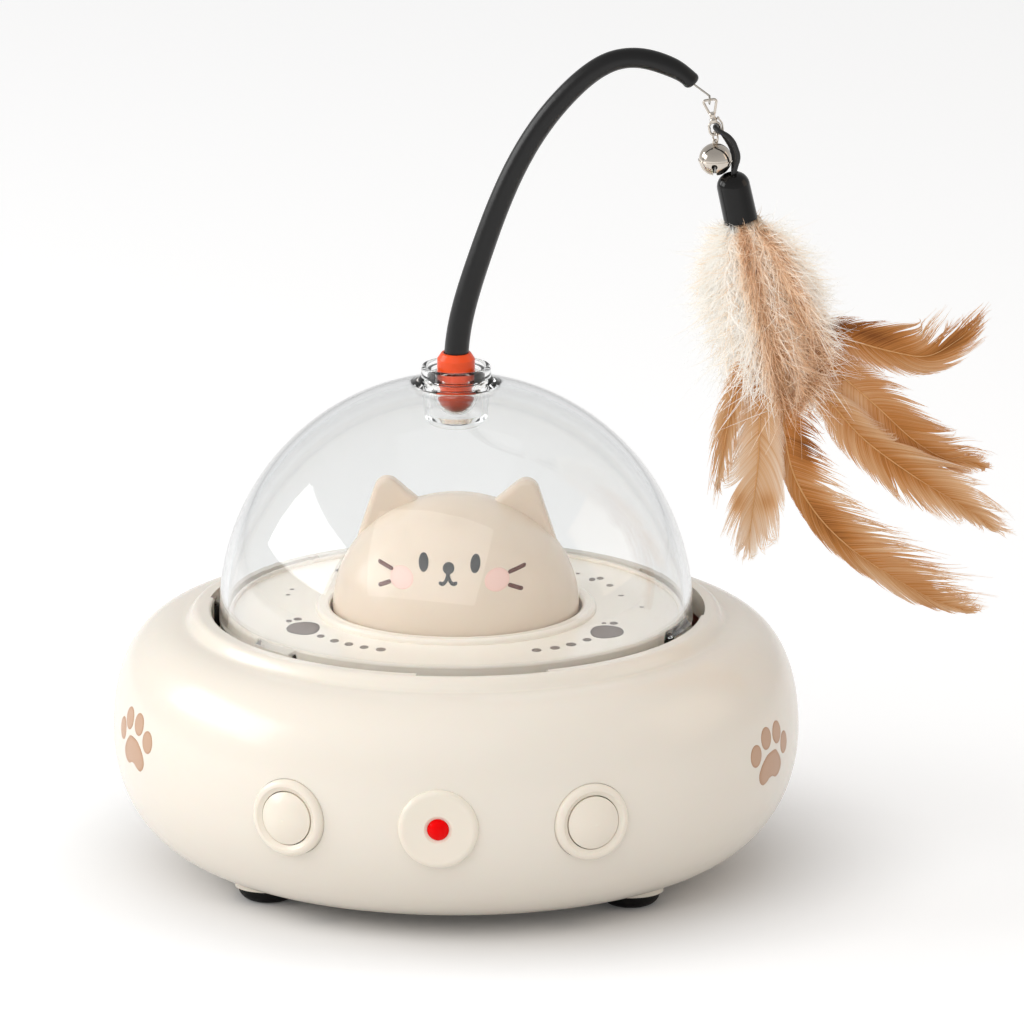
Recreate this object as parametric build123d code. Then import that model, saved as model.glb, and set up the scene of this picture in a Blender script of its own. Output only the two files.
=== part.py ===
from build123d import *
import math
import os

# An automatic cat toy: a round housing carries a motor-driven turntable that runs round a fixed
# neck with a cat's head on it. A clear dome on the turntable holds a wand, from which a bell and
# a feather lure hang. Origin on the housing's axis at the floor, front towards -Y. Millimetres.

# ---- housing ----
base_radius = 85.0
waist_height = 36.5
rest_gap = 3.5
base_wall = 2.2
floor_wall = 2.5
flat_inset = 31.0
seam_inset = 20.5
seam_gap = 0.2
deck_height = 66.4
collar_foot_drop = 3.2
collar_slope = 4.6
collar_land = 2.8
rim_lip = 2.2
rim_depth = 6.4
pocket_widening = 1.0
notch_widening = 2.6
flange_width = 5.0
flange_thick = 2.0
cover_rim_rise = 1.4

# ---- dome, its lugs and the running gap round it ----
dome_radius = 58.8
dome_wall = 2.1
dome_skirt = 3.0
dome_gap = 2.0
crown_flat = 11.3
lug_reach = 1.3
lug_height = 2.5
lug_angle = 16.0
lug_count = 3
lug_start = -25.0

# ---- turntable ----
plate_thick = 2.2
bead_width = 1.4
bead_height = 0.9
collar_radius = 34.8
collar_height = 1.5
skirt_wall = 1.8
skirt_height = 7.3
sleeve_wall = 2.5
bearing_gap = 0.3

# ---- fixed neck and drive plate ----
neck_radius = 31.0
neck_wall = 2.4
neck_drop = 4.4
drive_plate_inset = 2.8
drive_plate_drop = 19.9
drive_plate_thick = 2.5
seat_radius = 33.4
seat_height = 4.1
washer_thick = 0.4
end_float = 0.1
snap_depth = 0.8
snap_height = 1.2

# ---- gears ----
ring_teeth = 78
pinion_teeth = 12
wheel_teeth = 30
motor_teeth = 12
final_module = 1.0
first_module = 0.7
pressure_angle = 25.0
tooth_slack = 0.16
ring_gear_thick = 4.2
pinion_thick = 4.5
wheel_thick = 3.2
axle_radius = 1.0
axle_fit = 0.05
gear_direction = 90.0
motor_direction = -17.8

# ---- motor, battery and boards ----
motor_radius = 10.0
motor_length = 28.5
motor_boss = 3.3
cell_radius = 9.2
cell_length = 65.0
cell_y = 8.0
board_thick = 1.6

# ---- guide rollers ----
roller_radius = 1.9
roller_drop = 3.1
roller_height = 5.7
roller_first = 168.0
roller_count = 4
roller_gap = 0.3
roller_pin = 0.6

# ---- cat's head ----
head_radius = 30.5
head_height = 27.5
head_rise = 1.4
head_wall = 2.0
ear_thick = 5.0
ear_back = 3.0
ear_round = 1.4
ear_tip_round = 3.3

# ---- front controls ----
control_height = 33.0
button_angle = 26.4
bezel_radius = 9.8
bezel_proud = 1.5
cap_radius = 6.7
cap_gap = 0.25
cap_proud = 3.0
button_travel = 0.8
pad_radius = 10.1
pad_proud = 1.3
lens_radius = 2.7
laser_radius = 3.25
laser_length = 14.0

# ---- charging port ----
port_height = 22.0
port_width = 9.0
port_tall = 3.2
port_depth = 7.5

# ---- feet and screws ----
foot_inset = 9.0
foot_spread = 13.0
foot_radius = 7.5
foot_flat = 4.5
foot_stem = 2.6
screw_radius = 1.45
screw_hole = 1.6
screw_head = 2.8
post_radius = 4.2
post_inset = 4.0
cover_screw_inset = 3.7
head_screw_inset = 5.0

# ---- wand socket, plug and wand ----
socket_radius = 8.7
socket_foot_radius = 7.8
socket_wall = 1.4
socket_length = 15.7
socket_rise = 3.8
socket_floor = 1.7
socket_flange = 11.0
liner_wall = 0.7
plug_radius = 4.7
plug_fit = 0.08
plug_lift = 3.5
plug_proud = 3.3
wand_root_radius = 3.1
wand_tip_radius = 2.45
wand_depth = 8.0
wire_radius = 0.25

# ---- clasp, bell and lure ----
clasp_eye_x = 63.0
clasp_eye_rise = 65.9
clasp_tilt = 10.0
eye_wire = 0.33
eye_half = 1.8
eye_round = 0.6
hook_wire = 0.33
hook_half = 1.35
hook_top = -5.9
hook_bottom = -9.05
bell_radius = 4.1
bell_wall = 0.45
bell_loop = 0.6
ring_radius = 1.3
ring_wire = 0.25
ring_turn_out = -60.0
link_gap = 0.12
cord_radius = 0.65
cap_x = 68.2
cap_rise = 47.2
cap_tilt = 12.0
lure_cap_radius = 4.25
lure_cap_length = 12.5
feather_thick = 0.8

# ---- radii and heights that follow from the sizes above ----
flat_radius = base_radius - flat_inset
seam_radius = base_radius - seam_inset
flange_radius = seam_radius - flange_width
cover_screw_circle = seam_radius - cover_screw_inset
post_circle = flat_radius - post_inset
foot_x = flat_radius - foot_inset
foot_y = foot_x - foot_spread
opening_radius = dome_radius + dome_gap
collar_top_radius = opening_radius + collar_land
collar_foot_radius = collar_top_radius + collar_slope
drive_plate_radius = dome_radius - drive_plate_inset
drive_plate_top = deck_height - drive_plate_drop
neck_top = deck_height - neck_drop
roller_top = deck_height - roller_drop
head_base = deck_height + head_rise
head_screw_circle = neck_radius - head_screw_inset
socket_top = deck_height + dome_radius + socket_rise
socket_bottom = socket_top - socket_length
plug_bottom = socket_bottom + plug_lift
plug_top = socket_top + plug_proud
cap_z = plug_top + cap_rise


def ring_of(*corners):
    """Turns straight-sided (radius, height) corners about Z."""
    return revolve(Plane.XZ * make_face(Polyline(*corners, close=True)), Axis.Z)


def turned(*edges):
    """Turns a closed chain of (radius, height) edges about Z."""
    return revolve(Plane.XZ * make_face(list(edges)), Axis.Z)


def tube(outer, inner, low, high):
    """A plain ring between two heights."""
    return ring_of((inner, low), (outer, low), (outer, high), (inner, high))


def rod(radius, low, high, x=0.0, y=0.0):
    """An upright cylinder between two heights."""
    return Pos(x, y, (low + high) / 2) * Cylinder(radius, high - low)


def on_circle(radius, degrees):
    """The (x, y) of a point on a circle about the axis."""
    turn = math.radians(degrees)
    return radius * math.cos(turn), radius * math.sin(turn)


def sector(inner, outer, low, high, start, span):
    """A piece of a ring that starts at an angle and covers a span of degrees."""
    profile = make_face(Polyline((inner, low), (outer, low), (outer, high), (inner, high), close=True))
    return Rot(0, 0, start) * revolve(Plane.XZ * profile, Axis.Z, span)


def crown_arc(radius, low, high):
    """The arc of a shallow spherical crown, from its rim to its top on the axis."""
    rise = high - low
    sphere = (radius * radius + rise * rise) / (2 * rise)
    half = math.asin(radius / sphere) / 2
    middle = (sphere * math.sin(half), high - sphere * (1 - math.cos(half)))
    return ThreePointArc((radius, low), middle, (0, high))


def save(node, solid):
    """Writes one piece to its STEP file."""
    export_step(solid, os.path.join("parts", node + ".step"))


os.makedirs("parts", exist_ok=True)

# ---- housing: one turned skin, cut at the seam into the shell and the cover under it ----
collar_foot = deck_height - collar_foot_drop
inner_radius = base_radius - base_wall
cover_top = rest_gap + floor_wall
rim_bottom = deck_height - rim_depth
collar_mid = (collar_foot_radius + collar_top_radius) / 2
rim_wall_radius = opening_radius + rim_lip


def housing():
    """The doughnut skin: bulging sides, a raised collar round the opening and a flat floor."""
    return turned(
        Line((0, rest_gap), (flat_radius, rest_gap)),
        Bezier(
            (flat_radius, rest_gap), (flat_radius + 17, rest_gap),
            (base_radius, rest_gap + 12.5), (base_radius, waist_height),
        ),
        Bezier(
            (base_radius, waist_height), (base_radius, waist_height + 14.5),
            (base_radius - 5, collar_foot - 0.4), (collar_foot_radius, collar_foot),
        ),
        Bezier(
            (collar_foot_radius, collar_foot), (collar_foot_radius - 1.5, collar_foot),
            (collar_mid + 0.7, collar_foot + 0.6), (collar_mid, deck_height - 1.5),
        ),
        Bezier(
            (collar_mid, deck_height - 1.5), (collar_mid - 0.7, deck_height - 0.3),
            (collar_mid - 1.3, deck_height), (collar_top_radius, deck_height),
        ),
        Line((collar_top_radius, deck_height), (opening_radius + 0.8, deck_height)),
        RadiusArc((opening_radius + 0.8, deck_height), (opening_radius, deck_height - 0.8), -0.8),
        Line((opening_radius, deck_height - 0.8), (opening_radius, rim_bottom)),
        Line((opening_radius, rim_bottom), (rim_wall_radius, rim_bottom)),
        Line((rim_wall_radius, rim_bottom), (rim_wall_radius, deck_height - base_wall)),
        Line((rim_wall_radius, deck_height - base_wall), (collar_top_radius + 0.4, deck_height - base_wall)),
        Line((collar_top_radius + 0.4, deck_height - base_wall), (collar_foot_radius, collar_foot - base_wall)),
        Bezier(
            (collar_foot_radius, collar_foot - base_wall), (inner_radius - 4.4, collar_foot - base_wall - 0.4),
            (inner_radius, waist_height + 13), (inner_radius, waist_height),
        ),
        Bezier(
            (inner_radius, waist_height), (inner_radius, rest_gap + 14),
            (flat_radius + 18, cover_top), (flat_radius + 2, cover_top),
        ),
        Line((flat_radius + 2, cover_top), (0, cover_top)),
        Line((0, cover_top), (0, rest_gap)),
    )


skin = housing()
seam_top = cover_top + cover_rim_rise
plug_of_cover = rod(seam_radius, rest_gap - 1, seam_top)

# ---- guide rollers stand at the rim and bear on the turntable's skirt ----
skirt_radius = dome_radius - 0.2
roller_circle = skirt_radius + roller_gap + roller_radius
shelf_top = roller_top - roller_height - 0.3
roller_angles = [roller_first - 90 * i for i in range(roller_count)]
roller_names = ["left", "rear", "right", "front"]

# ---- front controls: a local frame for each, its z pointing out of the housing ----
control_radius = base_radius - 0.15
hole_gap = 0.1


def facing(degrees, radius=control_radius, height=control_height):
    """A frame on the housing's side at an angle from the front, z out of the wall and y up."""
    x, y = on_circle(1.0, degrees - 90)
    return Plane(origin=(radius * x, radius * y, height), x_dir=(-y, x, 0), z_dir=(x, y, 0))


def dish(plane, *corners):
    """Turns (radius, reach) corners about a frame's z."""
    return plane * ring_of(*corners)


button_frames = {"left": facing(-button_angle), "right": facing(button_angle)}
pad_frame = facing(0)
port_frame = facing(180, radius=base_radius - 2.3, height=port_height)

flange_back = -6.4
flange_front = -5.2
bezel_bore = cap_radius + cap_gap
bezel_step = -2.0
stem_radius = 1.6
stem_end = bezel_step - 4.9
switch_top = stem_end - button_travel - 0.2
switch_body = switch_top - 1.0
switch_foot = switch_body - 3.5
board_back = switch_foot - board_thick
board_boss_reach = 13.0
pad_stem = laser_radius + 2.2


def control_stem(plane):
    """A rod through the wall that clears a round control's hole."""
    return dish(plane, (0, -8), (bezel_radius + hole_gap, -8), (bezel_radius + hole_gap, 4), (0, 4))


def make_shell():
    """The upper housing with its inner flange, screw bosses, control holes, rim pockets and port."""
    shell = skin - plug_of_cover
    shell += tube(seam_radius + 3.5, flange_radius, seam_top, seam_top + flange_thick)
    for i in range(6):
        x, y = on_circle(cover_screw_circle, 60 * i)
        shell += rod(3.0, seam_top + 0.1, seam_top + 8, x, y)
    for plane in button_frames.values():
        for side in (-1, 1):
            boss = plane * Pos(side * board_boss_reach, 0, (switch_foot - 1.9) / 2) * Cylinder(
                2.0, -switch_foot - 1.9
            )
            shell += boss
    for side in (-1, 1):
        shell += port_frame * Pos(side * (port_width / 2 + 5), 0, -port_depth / 2 - 0.9) * Cylinder(
            1.8, port_depth - 1.8
        )
    for i in range(6):
        x, y = on_circle(cover_screw_circle, 60 * i)
        shell -= rod(screw_radius + 0.05, rest_gap, seam_top + 6, x, y)
    for plane in button_frames.values():
        shell -= control_stem(plane)
    shell -= dish(pad_frame, (0, -8), (pad_stem + hole_gap, -8), (pad_stem + hole_gap, 4), (0, 4))
    port_cut = extrude(SlotOverall(port_width + 0.6, port_tall + 0.6), 14, both=True)
    shell -= port_frame * port_cut
    for angle in roller_angles:
        x, y = on_circle(roller_circle, angle)
        shell += Rot(0, 0, angle) * Pos(roller_circle + 1.6, 0, shelf_top - 1.2) * Box(6.4, 5.6, 2.4)
        shell += Rot(0, 0, angle) * Pos(rim_wall_radius + 1.1, 0, (shelf_top + rim_bottom) / 2) * Box(
            2.8, 7.6, rim_bottom - shelf_top + 4.8
        )
        shell -= rod(roller_radius + 0.4, shelf_top, roller_top + 1.2, x, y)
        shell -= rod(roller_pin + 0.02, shelf_top - 3, shelf_top + 1, x, y)
    for start, span in ((128, 45.7), (-3, 45)):
        shell -= sector(
            opening_radius - 1, opening_radius + pocket_widening, rim_bottom - 1, deck_height + 1, start, span
        )
    shell -= sector(opening_radius - 1, opening_radius + notch_widening - 1, rim_bottom - 1,
                    deck_height + 1, 263.9, 30.7)
    shell -= sector(opening_radius - 1, opening_radius + notch_widening, deck_height - 1.1,
                    deck_height + 1, 263.9, 30.7)
    shell -= sector(opening_radius - 1, opening_radius + 0.5, deck_height - 1.1,
                    deck_height + 1, 255.2, 8.7)
    return shell


save("base_shell", make_shell())

# ---- bottom cover: carries the drive plate's posts, the board standoffs and the feet ----
foot_places = [(sx * foot_x, sy * foot_y) for sx in (-1, 1) for sy in (-1, 1)]
post_angles = [15, 165, 195, 345]
plate_bottom = drive_plate_top - drive_plate_thick
post_shelf = drive_plate_top - 10.5
board_height = 14.0
main_board = (46.0, 24.0)
main_board_y = -28.0
standoffs = [(sx * 20, main_board_y + sy * 9) for sx in (-1, 1) for sy in (-1, 1)]
cover_head_top = seam_top - 1.0


def make_cover():
    """The floor of the housing."""
    cover = skin & rod(seam_radius - seam_gap, rest_gap - 1, seam_top)
    cover += tube(seam_radius - seam_gap, flange_radius - 2, cover_top - 0.5, seam_top)
    for x, y in foot_places:
        cover += rod(foot_radius + 0.8, rest_gap, cover_top, x, y)
    for angle in post_angles:
        x, y = on_circle(post_circle, angle)
        cover += rod(post_radius, rest_gap + 1, plate_bottom, x, y)
    for x, y in standoffs:
        cover += rod(2.0, rest_gap + 1, board_height, x, y)
    for angle in post_angles:
        x, y = on_circle(post_circle, angle)
        cover -= rod(screw_head + 0.3, rest_gap - 1, post_shelf, x, y)
        cover -= rod(screw_hole, post_shelf - 1, plate_bottom + 1, x, y)
    for x, y in foot_places:
        cover -= rod(foot_stem, rest_gap - 1, cover_top + 1, x, y)
        cover -= rod(foot_stem + 1.0, cover_top, seam_top + 1, x, y)
    for i in range(6):
        x, y = on_circle(cover_screw_circle, 60 * i)
        cover -= rod(screw_head + 0.1, rest_gap - 1, cover_head_top, x, y)
        cover -= rod(screw_hole, rest_gap - 1, seam_top + 1, x, y)
    for i in range(5):
        slot = Pos(0, 24 + 5 * i, 0) * extrude(SlotOverall(22, 1.6), 20, both=True)
        cover -= Pos(-22, 0, cover_top) * slot
    return cover


save("bottom_cover", make_cover())


def make_foot(x, y):
    """A domed rubber foot whose stem snaps through the floor."""
    return Pos(x, y, 0) * turned(
        Line((0, 0), (foot_flat, 0)),
        ThreePointArc((foot_flat, 0), (foot_radius - 0.85, 1.25), (foot_radius, rest_gap)),
        Line((foot_radius, rest_gap), (foot_stem, rest_gap)),
        Line((foot_stem, rest_gap), (foot_stem, cover_top)),
        Line((foot_stem, cover_top), (foot_stem + 0.7, cover_top)),
        Line((foot_stem + 0.7, cover_top), (foot_stem - 0.4, cover_top + 1.6)),
        Line((foot_stem - 0.4, cover_top + 1.6), (0, cover_top + 1.6)),
        Line((0, cover_top + 1.6), (0, 0)),
    )


save("rubber_feet", Compound([make_foot(x, y) for x, y in foot_places]))


def make_screw(x, y, head_low, head_high, tip, radius=screw_radius, head=screw_head):
    """A pan-head screw driven upwards, with a plain recess for the driver."""
    screw = rod(radius, head_high - 0.1, tip, x, y) + rod(head, head_low, head_high, x, y)
    return screw - rod(head * 0.35, head_low - 1, head_low + (head_high - head_low) * 0.5, x, y)


cover_screws = []
for i in range(6):
    x, y = on_circle(cover_screw_circle, 60 * i)
    cover_screws.append(make_screw(x, y, cover_head_top - 1.1, cover_head_top, seam_top + 5.5))
save("cover_screws", Compound(cover_screws))

# ---- drive plate with the fixed neck that the turntable runs round ----
gear_distance = final_module * (ring_teeth + pinion_teeth) / 2
motor_distance = first_module * (wheel_teeth + motor_teeth) / 2
gear_x, gear_y = on_circle(gear_distance, gear_direction)
motor_dx, motor_dy = on_circle(motor_distance, motor_direction)
motor_x = gear_x + motor_dx
motor_y = gear_y + motor_dy
seat_top = drive_plate_top + seat_height
washer_top = seat_top + washer_thick
sleeve_bottom = washer_top + end_float
neck_inner = neck_radius - neck_wall
head_screw_angles = [90, 210, 330]


def make_drive_plate():
    """The plate on the cover's posts, with the neck, its seat, the snap groove and ribs below."""
    plate = tube(drive_plate_radius, neck_inner - 6, plate_bottom, drive_plate_top)
    neck = ring_of(
        (neck_inner, plate_bottom), (neck_radius, plate_bottom), (neck_radius, sleeve_bottom - 0.1),
        (neck_radius - snap_depth - 0.1, sleeve_bottom - 0.1),
        (neck_radius - snap_depth - 0.1, sleeve_bottom + snap_height + 0.5),
        (neck_radius, sleeve_bottom + snap_height + 1.3), (neck_radius, neck_top),
        (head_screw_circle - 4, neck_top), (head_screw_circle - 4, neck_top - 2), (neck_inner, neck_top - 2),
    )
    seat = tube(seat_radius, neck_inner + 0.5, plate_bottom + 1, seat_top)
    plate = plate + neck + seat
    for i in range(12):
        rib = Pos((neck_radius + drive_plate_radius) / 2, 0, plate_bottom - 1) * Box(
            drive_plate_radius - neck_radius - 3, 1.6, 2
        )
        plate += Rot(0, 0, 30 * i) * rib
    plate -= rod(motor_boss + 0.1, plate_bottom - 3, drive_plate_top + 1, motor_x, motor_y)
    plate -= rod(motor_radius + 0.3, plate_bottom - 3, plate_bottom, motor_x, motor_y)
    plate -= rod(axle_radius, plate_bottom - 3, drive_plate_top + 1, gear_x, gear_y)
    for angle in post_angles:
        x, y = on_circle(post_circle, angle)
        plate -= rod(screw_radius + 0.05, plate_bottom - 3, drive_plate_top + 1, x, y)
        plate -= rod(post_radius + 0.3, plate_bottom - 3, plate_bottom, x, y)
    for angle in head_screw_angles:
        x, y = on_circle(head_screw_circle, angle)
        plate -= rod(screw_hole, neck_top - 5, neck_top + 1, x, y)
    for side in (-1, 1):
        x, y = on_circle(motor_radius - 3, 60 * side)
        plate -= rod(1.1, plate_bottom - 3, drive_plate_top + 1, motor_x + x, motor_y + y)
    return plate


save("drive_plate", make_drive_plate())

plate_screws = []
for angle in post_angles:
    x, y = on_circle(post_circle, angle)
    plate_screws.append(make_screw(x, y, post_shelf - 2.2, post_shelf, drive_plate_top))
save("plate_screws", Compound(plate_screws))
save("thrust_washer", tube(seat_radius - 0.1, neck_radius + 0.15, seat_top, washer_top))

# ---- motor and the train: pinion, compound wheel, ring gear ----
wheel_low = drive_plate_top + 0.9
pinion_low = wheel_low + wheel_thick + 0.3
ring_low = sleeve_bottom + 0.3


def involute(angle):
    """The involute function of a pressure angle in radians."""
    return math.tan(angle) - angle


def gear_face(module, teeth, turn):
    """A spur gear's outline: each tooth has a root arc's chord, two involute flanks and a flat tip."""
    pitch = module * teeth / 2
    base = pitch * math.cos(math.radians(pressure_angle))
    tip = pitch + 0.9 * module
    root = pitch - 1.2 * module
    low = max(base, root)
    half_pitch_tooth = math.pi / (2 * teeth) - tooth_slack / (2 * pitch)
    flank = []
    for radius in (low, (low + tip) / 2, tip):
        flank_angle = math.acos(min(1.0, base / radius))
        half = half_pitch_tooth + involute(math.radians(pressure_angle)) - involute(flank_angle)
        flank.append((radius, half))
    if low > root + 1e-6:
        flank.insert(0, (root, flank[0][1]))
    corners = []
    for tooth in range(teeth):
        centre = math.radians(turn) + 2 * math.pi * tooth / teeth
        for radius, half in flank:
            corners.append((radius * math.cos(centre - half), radius * math.sin(centre - half)))
        for radius, half in reversed(flank):
            corners.append((radius * math.cos(centre + half), radius * math.sin(centre + half)))
    return make_face(Polyline(*corners, close=True))


def gear_body(module, teeth, turn, low, thick, x=0.0, y=0.0):
    """A spur gear blank with cut teeth, standing at (x, y)."""
    return Pos(x, y, low) * extrude(gear_face(module, teeth, turn), thick)


motor = rod(motor_radius, plate_bottom - motor_length, plate_bottom, motor_x, motor_y)
motor = fillet(motor.edges().filter_by(GeomType.CIRCLE).sort_by(Axis.Z)[:1], 1.5)
motor += rod(motor_boss, plate_bottom - 1, drive_plate_top - 0.5, motor_x, motor_y)
motor += rod(3.0, plate_bottom - motor_length - 1.5, plate_bottom - motor_length + 1, motor_x, motor_y)
motor -= rod(axle_radius + axle_fit, plate_bottom - 9, drive_plate_top, motor_x, motor_y)
motor_screws = []
for side in (-1, 1):
    x, y = on_circle(motor_radius - 3, 60 * side)
    motor -= rod(1.1, plate_bottom - 5, plate_bottom + 1, motor_x + x, motor_y + y)
    screw = rod(1.0, plate_bottom - 4.5, drive_plate_top + 0.1, motor_x + x, motor_y + y)
    screw += rod(1.9, drive_plate_top, drive_plate_top + 0.6, motor_x + x, motor_y + y)
    motor_screws.append(screw)
save("gear_motor", motor)
save("motor_screws", Compound(motor_screws))

motor_turn = motor_direction + 180 + 180 / motor_teeth
motor_pinion = gear_body(first_module, motor_teeth, motor_turn, wheel_low - 0.2, wheel_thick + 0.5, motor_x, motor_y)
motor_pinion += rod(axle_radius, plate_bottom - 8.5, wheel_low, motor_x, motor_y)
save("motor_pinion", motor_pinion)

pinion_turn = gear_direction + 180 + 180 / pinion_teeth
wheel = gear_body(first_module, wheel_teeth, motor_direction, wheel_low, wheel_thick, gear_x, gear_y)
wheel += gear_body(final_module, pinion_teeth, pinion_turn, wheel_low + wheel_thick - 0.1,
                   pinion_thick + 0.4, gear_x, gear_y)
wheel -= rod(axle_radius + axle_fit, wheel_low - 1, pinion_low + pinion_thick + 2, gear_x, gear_y)
save("reduction_gear", wheel)

axle = rod(axle_radius, plate_bottom - 2, pinion_low + pinion_thick + 0.6, gear_x, gear_y)
axle += rod(axle_radius + 1, pinion_low + pinion_thick + 0.6, pinion_low + pinion_thick + 1.4, gear_x, gear_y)
axle += rod(axle_radius + 0.9, drive_plate_top, wheel_low - 0.1, gear_x, gear_y)
save("gear_axle", axle)

# ---- turntable: deck, bead, dome seat, skirt and the sleeve that runs on the neck ----
sleeve_inner = neck_radius + bearing_gap
sleeve_outer = sleeve_inner + sleeve_wall
plate_under = deck_height - plate_thick
dome_foot = deck_height - dome_skirt
bead_outer = dome_radius - dome_wall - 0.1
bead_inner = bead_outer - bead_width
collar_top = deck_height + collar_height
ring_shoulder = final_module * ring_teeth / 2 - 3.4
ring_top = ring_low + ring_gear_thick


def make_turntable():
    """One turned moulding."""
    return turned(
        Polyline(
            (sleeve_outer, sleeve_bottom), (sleeve_inner - snap_depth, sleeve_bottom),
            (sleeve_inner - snap_depth, sleeve_bottom + snap_height), (sleeve_inner, sleeve_bottom + snap_height + 0.6),
            (sleeve_inner, collar_top - 0.5),
        ),
        ThreePointArc(
            (sleeve_inner, collar_top - 0.5), (sleeve_inner + 0.5, collar_top - 0.05), (sleeve_inner + 1.2, collar_top)
        ),
        Line((sleeve_inner + 1.2, collar_top), (collar_radius - 1.0, collar_top)),
        RadiusArc((collar_radius - 1.0, collar_top), (collar_radius, collar_top - 1.0), 1.0),
        Line((collar_radius, collar_top - 1.0), (collar_radius, deck_height)),
        Line((collar_radius, deck_height), (bead_inner, deck_height)),
        ThreePointArc(
            (bead_inner, deck_height), ((bead_inner + bead_outer) / 2, deck_height + bead_height),
            (bead_outer, deck_height),
        ),
        Polyline(
            (bead_outer, deck_height), (bead_outer, dome_foot), (skirt_radius, dome_foot),
            (skirt_radius, dome_foot - skirt_height), (skirt_radius - skirt_wall, dome_foot - skirt_height),
            (skirt_radius - skirt_wall, dome_foot - 2), (bead_inner - 1, dome_foot - 2),
            (bead_inner - 1, plate_under), (sleeve_outer + 0.5, plate_under),
            (sleeve_outer + 0.5, ring_top + 2.2), (ring_shoulder, ring_top + 2.2), (ring_shoulder, ring_top),
            (sleeve_outer, ring_top), (sleeve_outer, sleeve_bottom),
        ),
    )


save("turntable", make_turntable())

ring_turn = gear_direction % (360 / ring_teeth)
ring_gear = gear_body(final_module, ring_teeth, ring_turn, ring_low, ring_gear_thick)
ring_gear -= rod(sleeve_outer + 0.05, ring_low - 1, ring_top + 1)
save("ring_gear", ring_gear)


# ---- clear dome: a hemisphere on a short skirt, flattened at the crown for the socket's flange ----
def arc_height(radius, reach):
    """The height of a dome's surface over its rim plane at a distance from the axis."""
    return math.sqrt(radius * radius - reach * reach)


dome_inner = dome_radius - dome_wall
crown_top = deck_height + arc_height(dome_radius, crown_flat)
crown_hole = socket_radius + 0.05
crown_under = deck_height + arc_height(dome_inner, crown_hole)


def make_dome():
    """The dome with its lifting lugs."""
    slope = math.sqrt(0.5)
    dome = turned(
        Polyline((dome_inner, deck_height), (dome_inner, dome_foot), (dome_radius, dome_foot), (dome_radius, deck_height)),
        ThreePointArc(
            (dome_radius, deck_height), (dome_radius * slope, deck_height + dome_radius * slope),
            (crown_flat, crown_top),
        ),
        Polyline((crown_flat, crown_top), (crown_hole, crown_top), (crown_hole, crown_under)),
        ThreePointArc(
            (crown_hole, crown_under), (dome_inner * slope, deck_height + dome_inner * slope),
            (dome_inner, deck_height),
        ),
    )
    for i in range(lug_count):
        lug = sector(
            dome_radius - 0.5, dome_radius + lug_reach, deck_height + 0.5 - lug_height, deck_height + 0.5,
            lug_start + i * 360 / lug_count, lug_angle,
        )
        dome += lug
    return dome


save("dome", make_dome())

# ---- wand socket: a clear cup through the dome's crown, with a liner and a rubber ring ----
mouth_radius = socket_radius - 1.5
liner_outer = plug_radius + plug_fit + liner_wall
liner_seat = socket_top - 4.0
liner_flange = 0.9


def make_socket():
    """The cup: a round-cornered foot, a flange on the crown and a rolled mouth."""
    foot_round = 3.0
    inner_foot = socket_foot_radius - socket_wall
    return turned(
        Line((0, socket_bottom), (socket_foot_radius - foot_round, socket_bottom)),
        RadiusArc(
            (socket_foot_radius - foot_round, socket_bottom), (socket_foot_radius, socket_bottom + foot_round), -foot_round
        ),
        Polyline(
            (socket_foot_radius, socket_bottom + foot_round), (socket_radius - 0.15, crown_top),
            (socket_flange - 0.3, crown_top), (socket_flange, crown_top + 0.5),
            (socket_radius + 0.6, crown_top + 1.5), (socket_radius, crown_top + 2.2), (socket_radius, socket_top - 0.8),
        ),
        ThreePointArc(
            (socket_radius, socket_top - 0.8), ((socket_radius + mouth_radius) / 2, socket_top),
            (mouth_radius, socket_top - 0.7),
        ),
        Polyline(
            (mouth_radius, socket_top - 0.7), (mouth_radius, liner_seat), (mouth_radius - 0.6, liner_seat),
            (inner_foot, socket_bottom + foot_round), (inner_foot - 1.6, socket_bottom + socket_floor),
            (0, socket_bottom + socket_floor), (0, socket_bottom),
        ),
    )


save("wand_socket", make_socket())


def make_liner():
    """The round-ended pocket that the plug drops into."""
    pocket = plug_radius + plug_fit
    centre = plug_bottom - plug_fit + pocket
    slope = math.sqrt(0.5)
    return turned(
        ThreePointArc(
            (0, centre - liner_outer), (liner_outer * slope, centre - liner_outer * slope), (liner_outer, centre)
        ),
        Polyline(
            (liner_outer, centre), (liner_outer, liner_seat), (mouth_radius - 0.05, liner_seat),
            (mouth_radius - 0.05, liner_seat + liner_flange), (pocket, liner_seat + liner_flange), (pocket, centre),
        ),
        ThreePointArc((pocket, centre), (pocket * slope, centre - pocket * slope), (0, centre - pocket)),
        Line((0, centre - pocket), (0, centre - liner_outer)),
    )


save("socket_liner", make_liner())
save("socket_ring", tube(mouth_radius - 0.05, mouth_radius - 0.95, liner_seat + liner_flange, socket_top - 1.0))

# ---- cat's head: a thin half-ellipsoid with two ears, standing on the neck ----
ear_corners = [(27.3, head_base + 8.2), (18.8, head_base + 33.8), (3.0, head_base + 20.4)]


def half_egg(radius, height, low):
    """A half-ellipsoid on a short skirt that reaches down to a height."""
    return turned(
        Line((0, low), (radius, low)),
        Line((radius, low), (radius, head_base)),
        Bezier(
            (radius, head_base), (radius, head_base + 0.5523 * height),
            (0.5523 * radius, head_base + height), (0, head_base + height),
        ),
        Line((0, head_base + height), (0, low)),
    )


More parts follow.
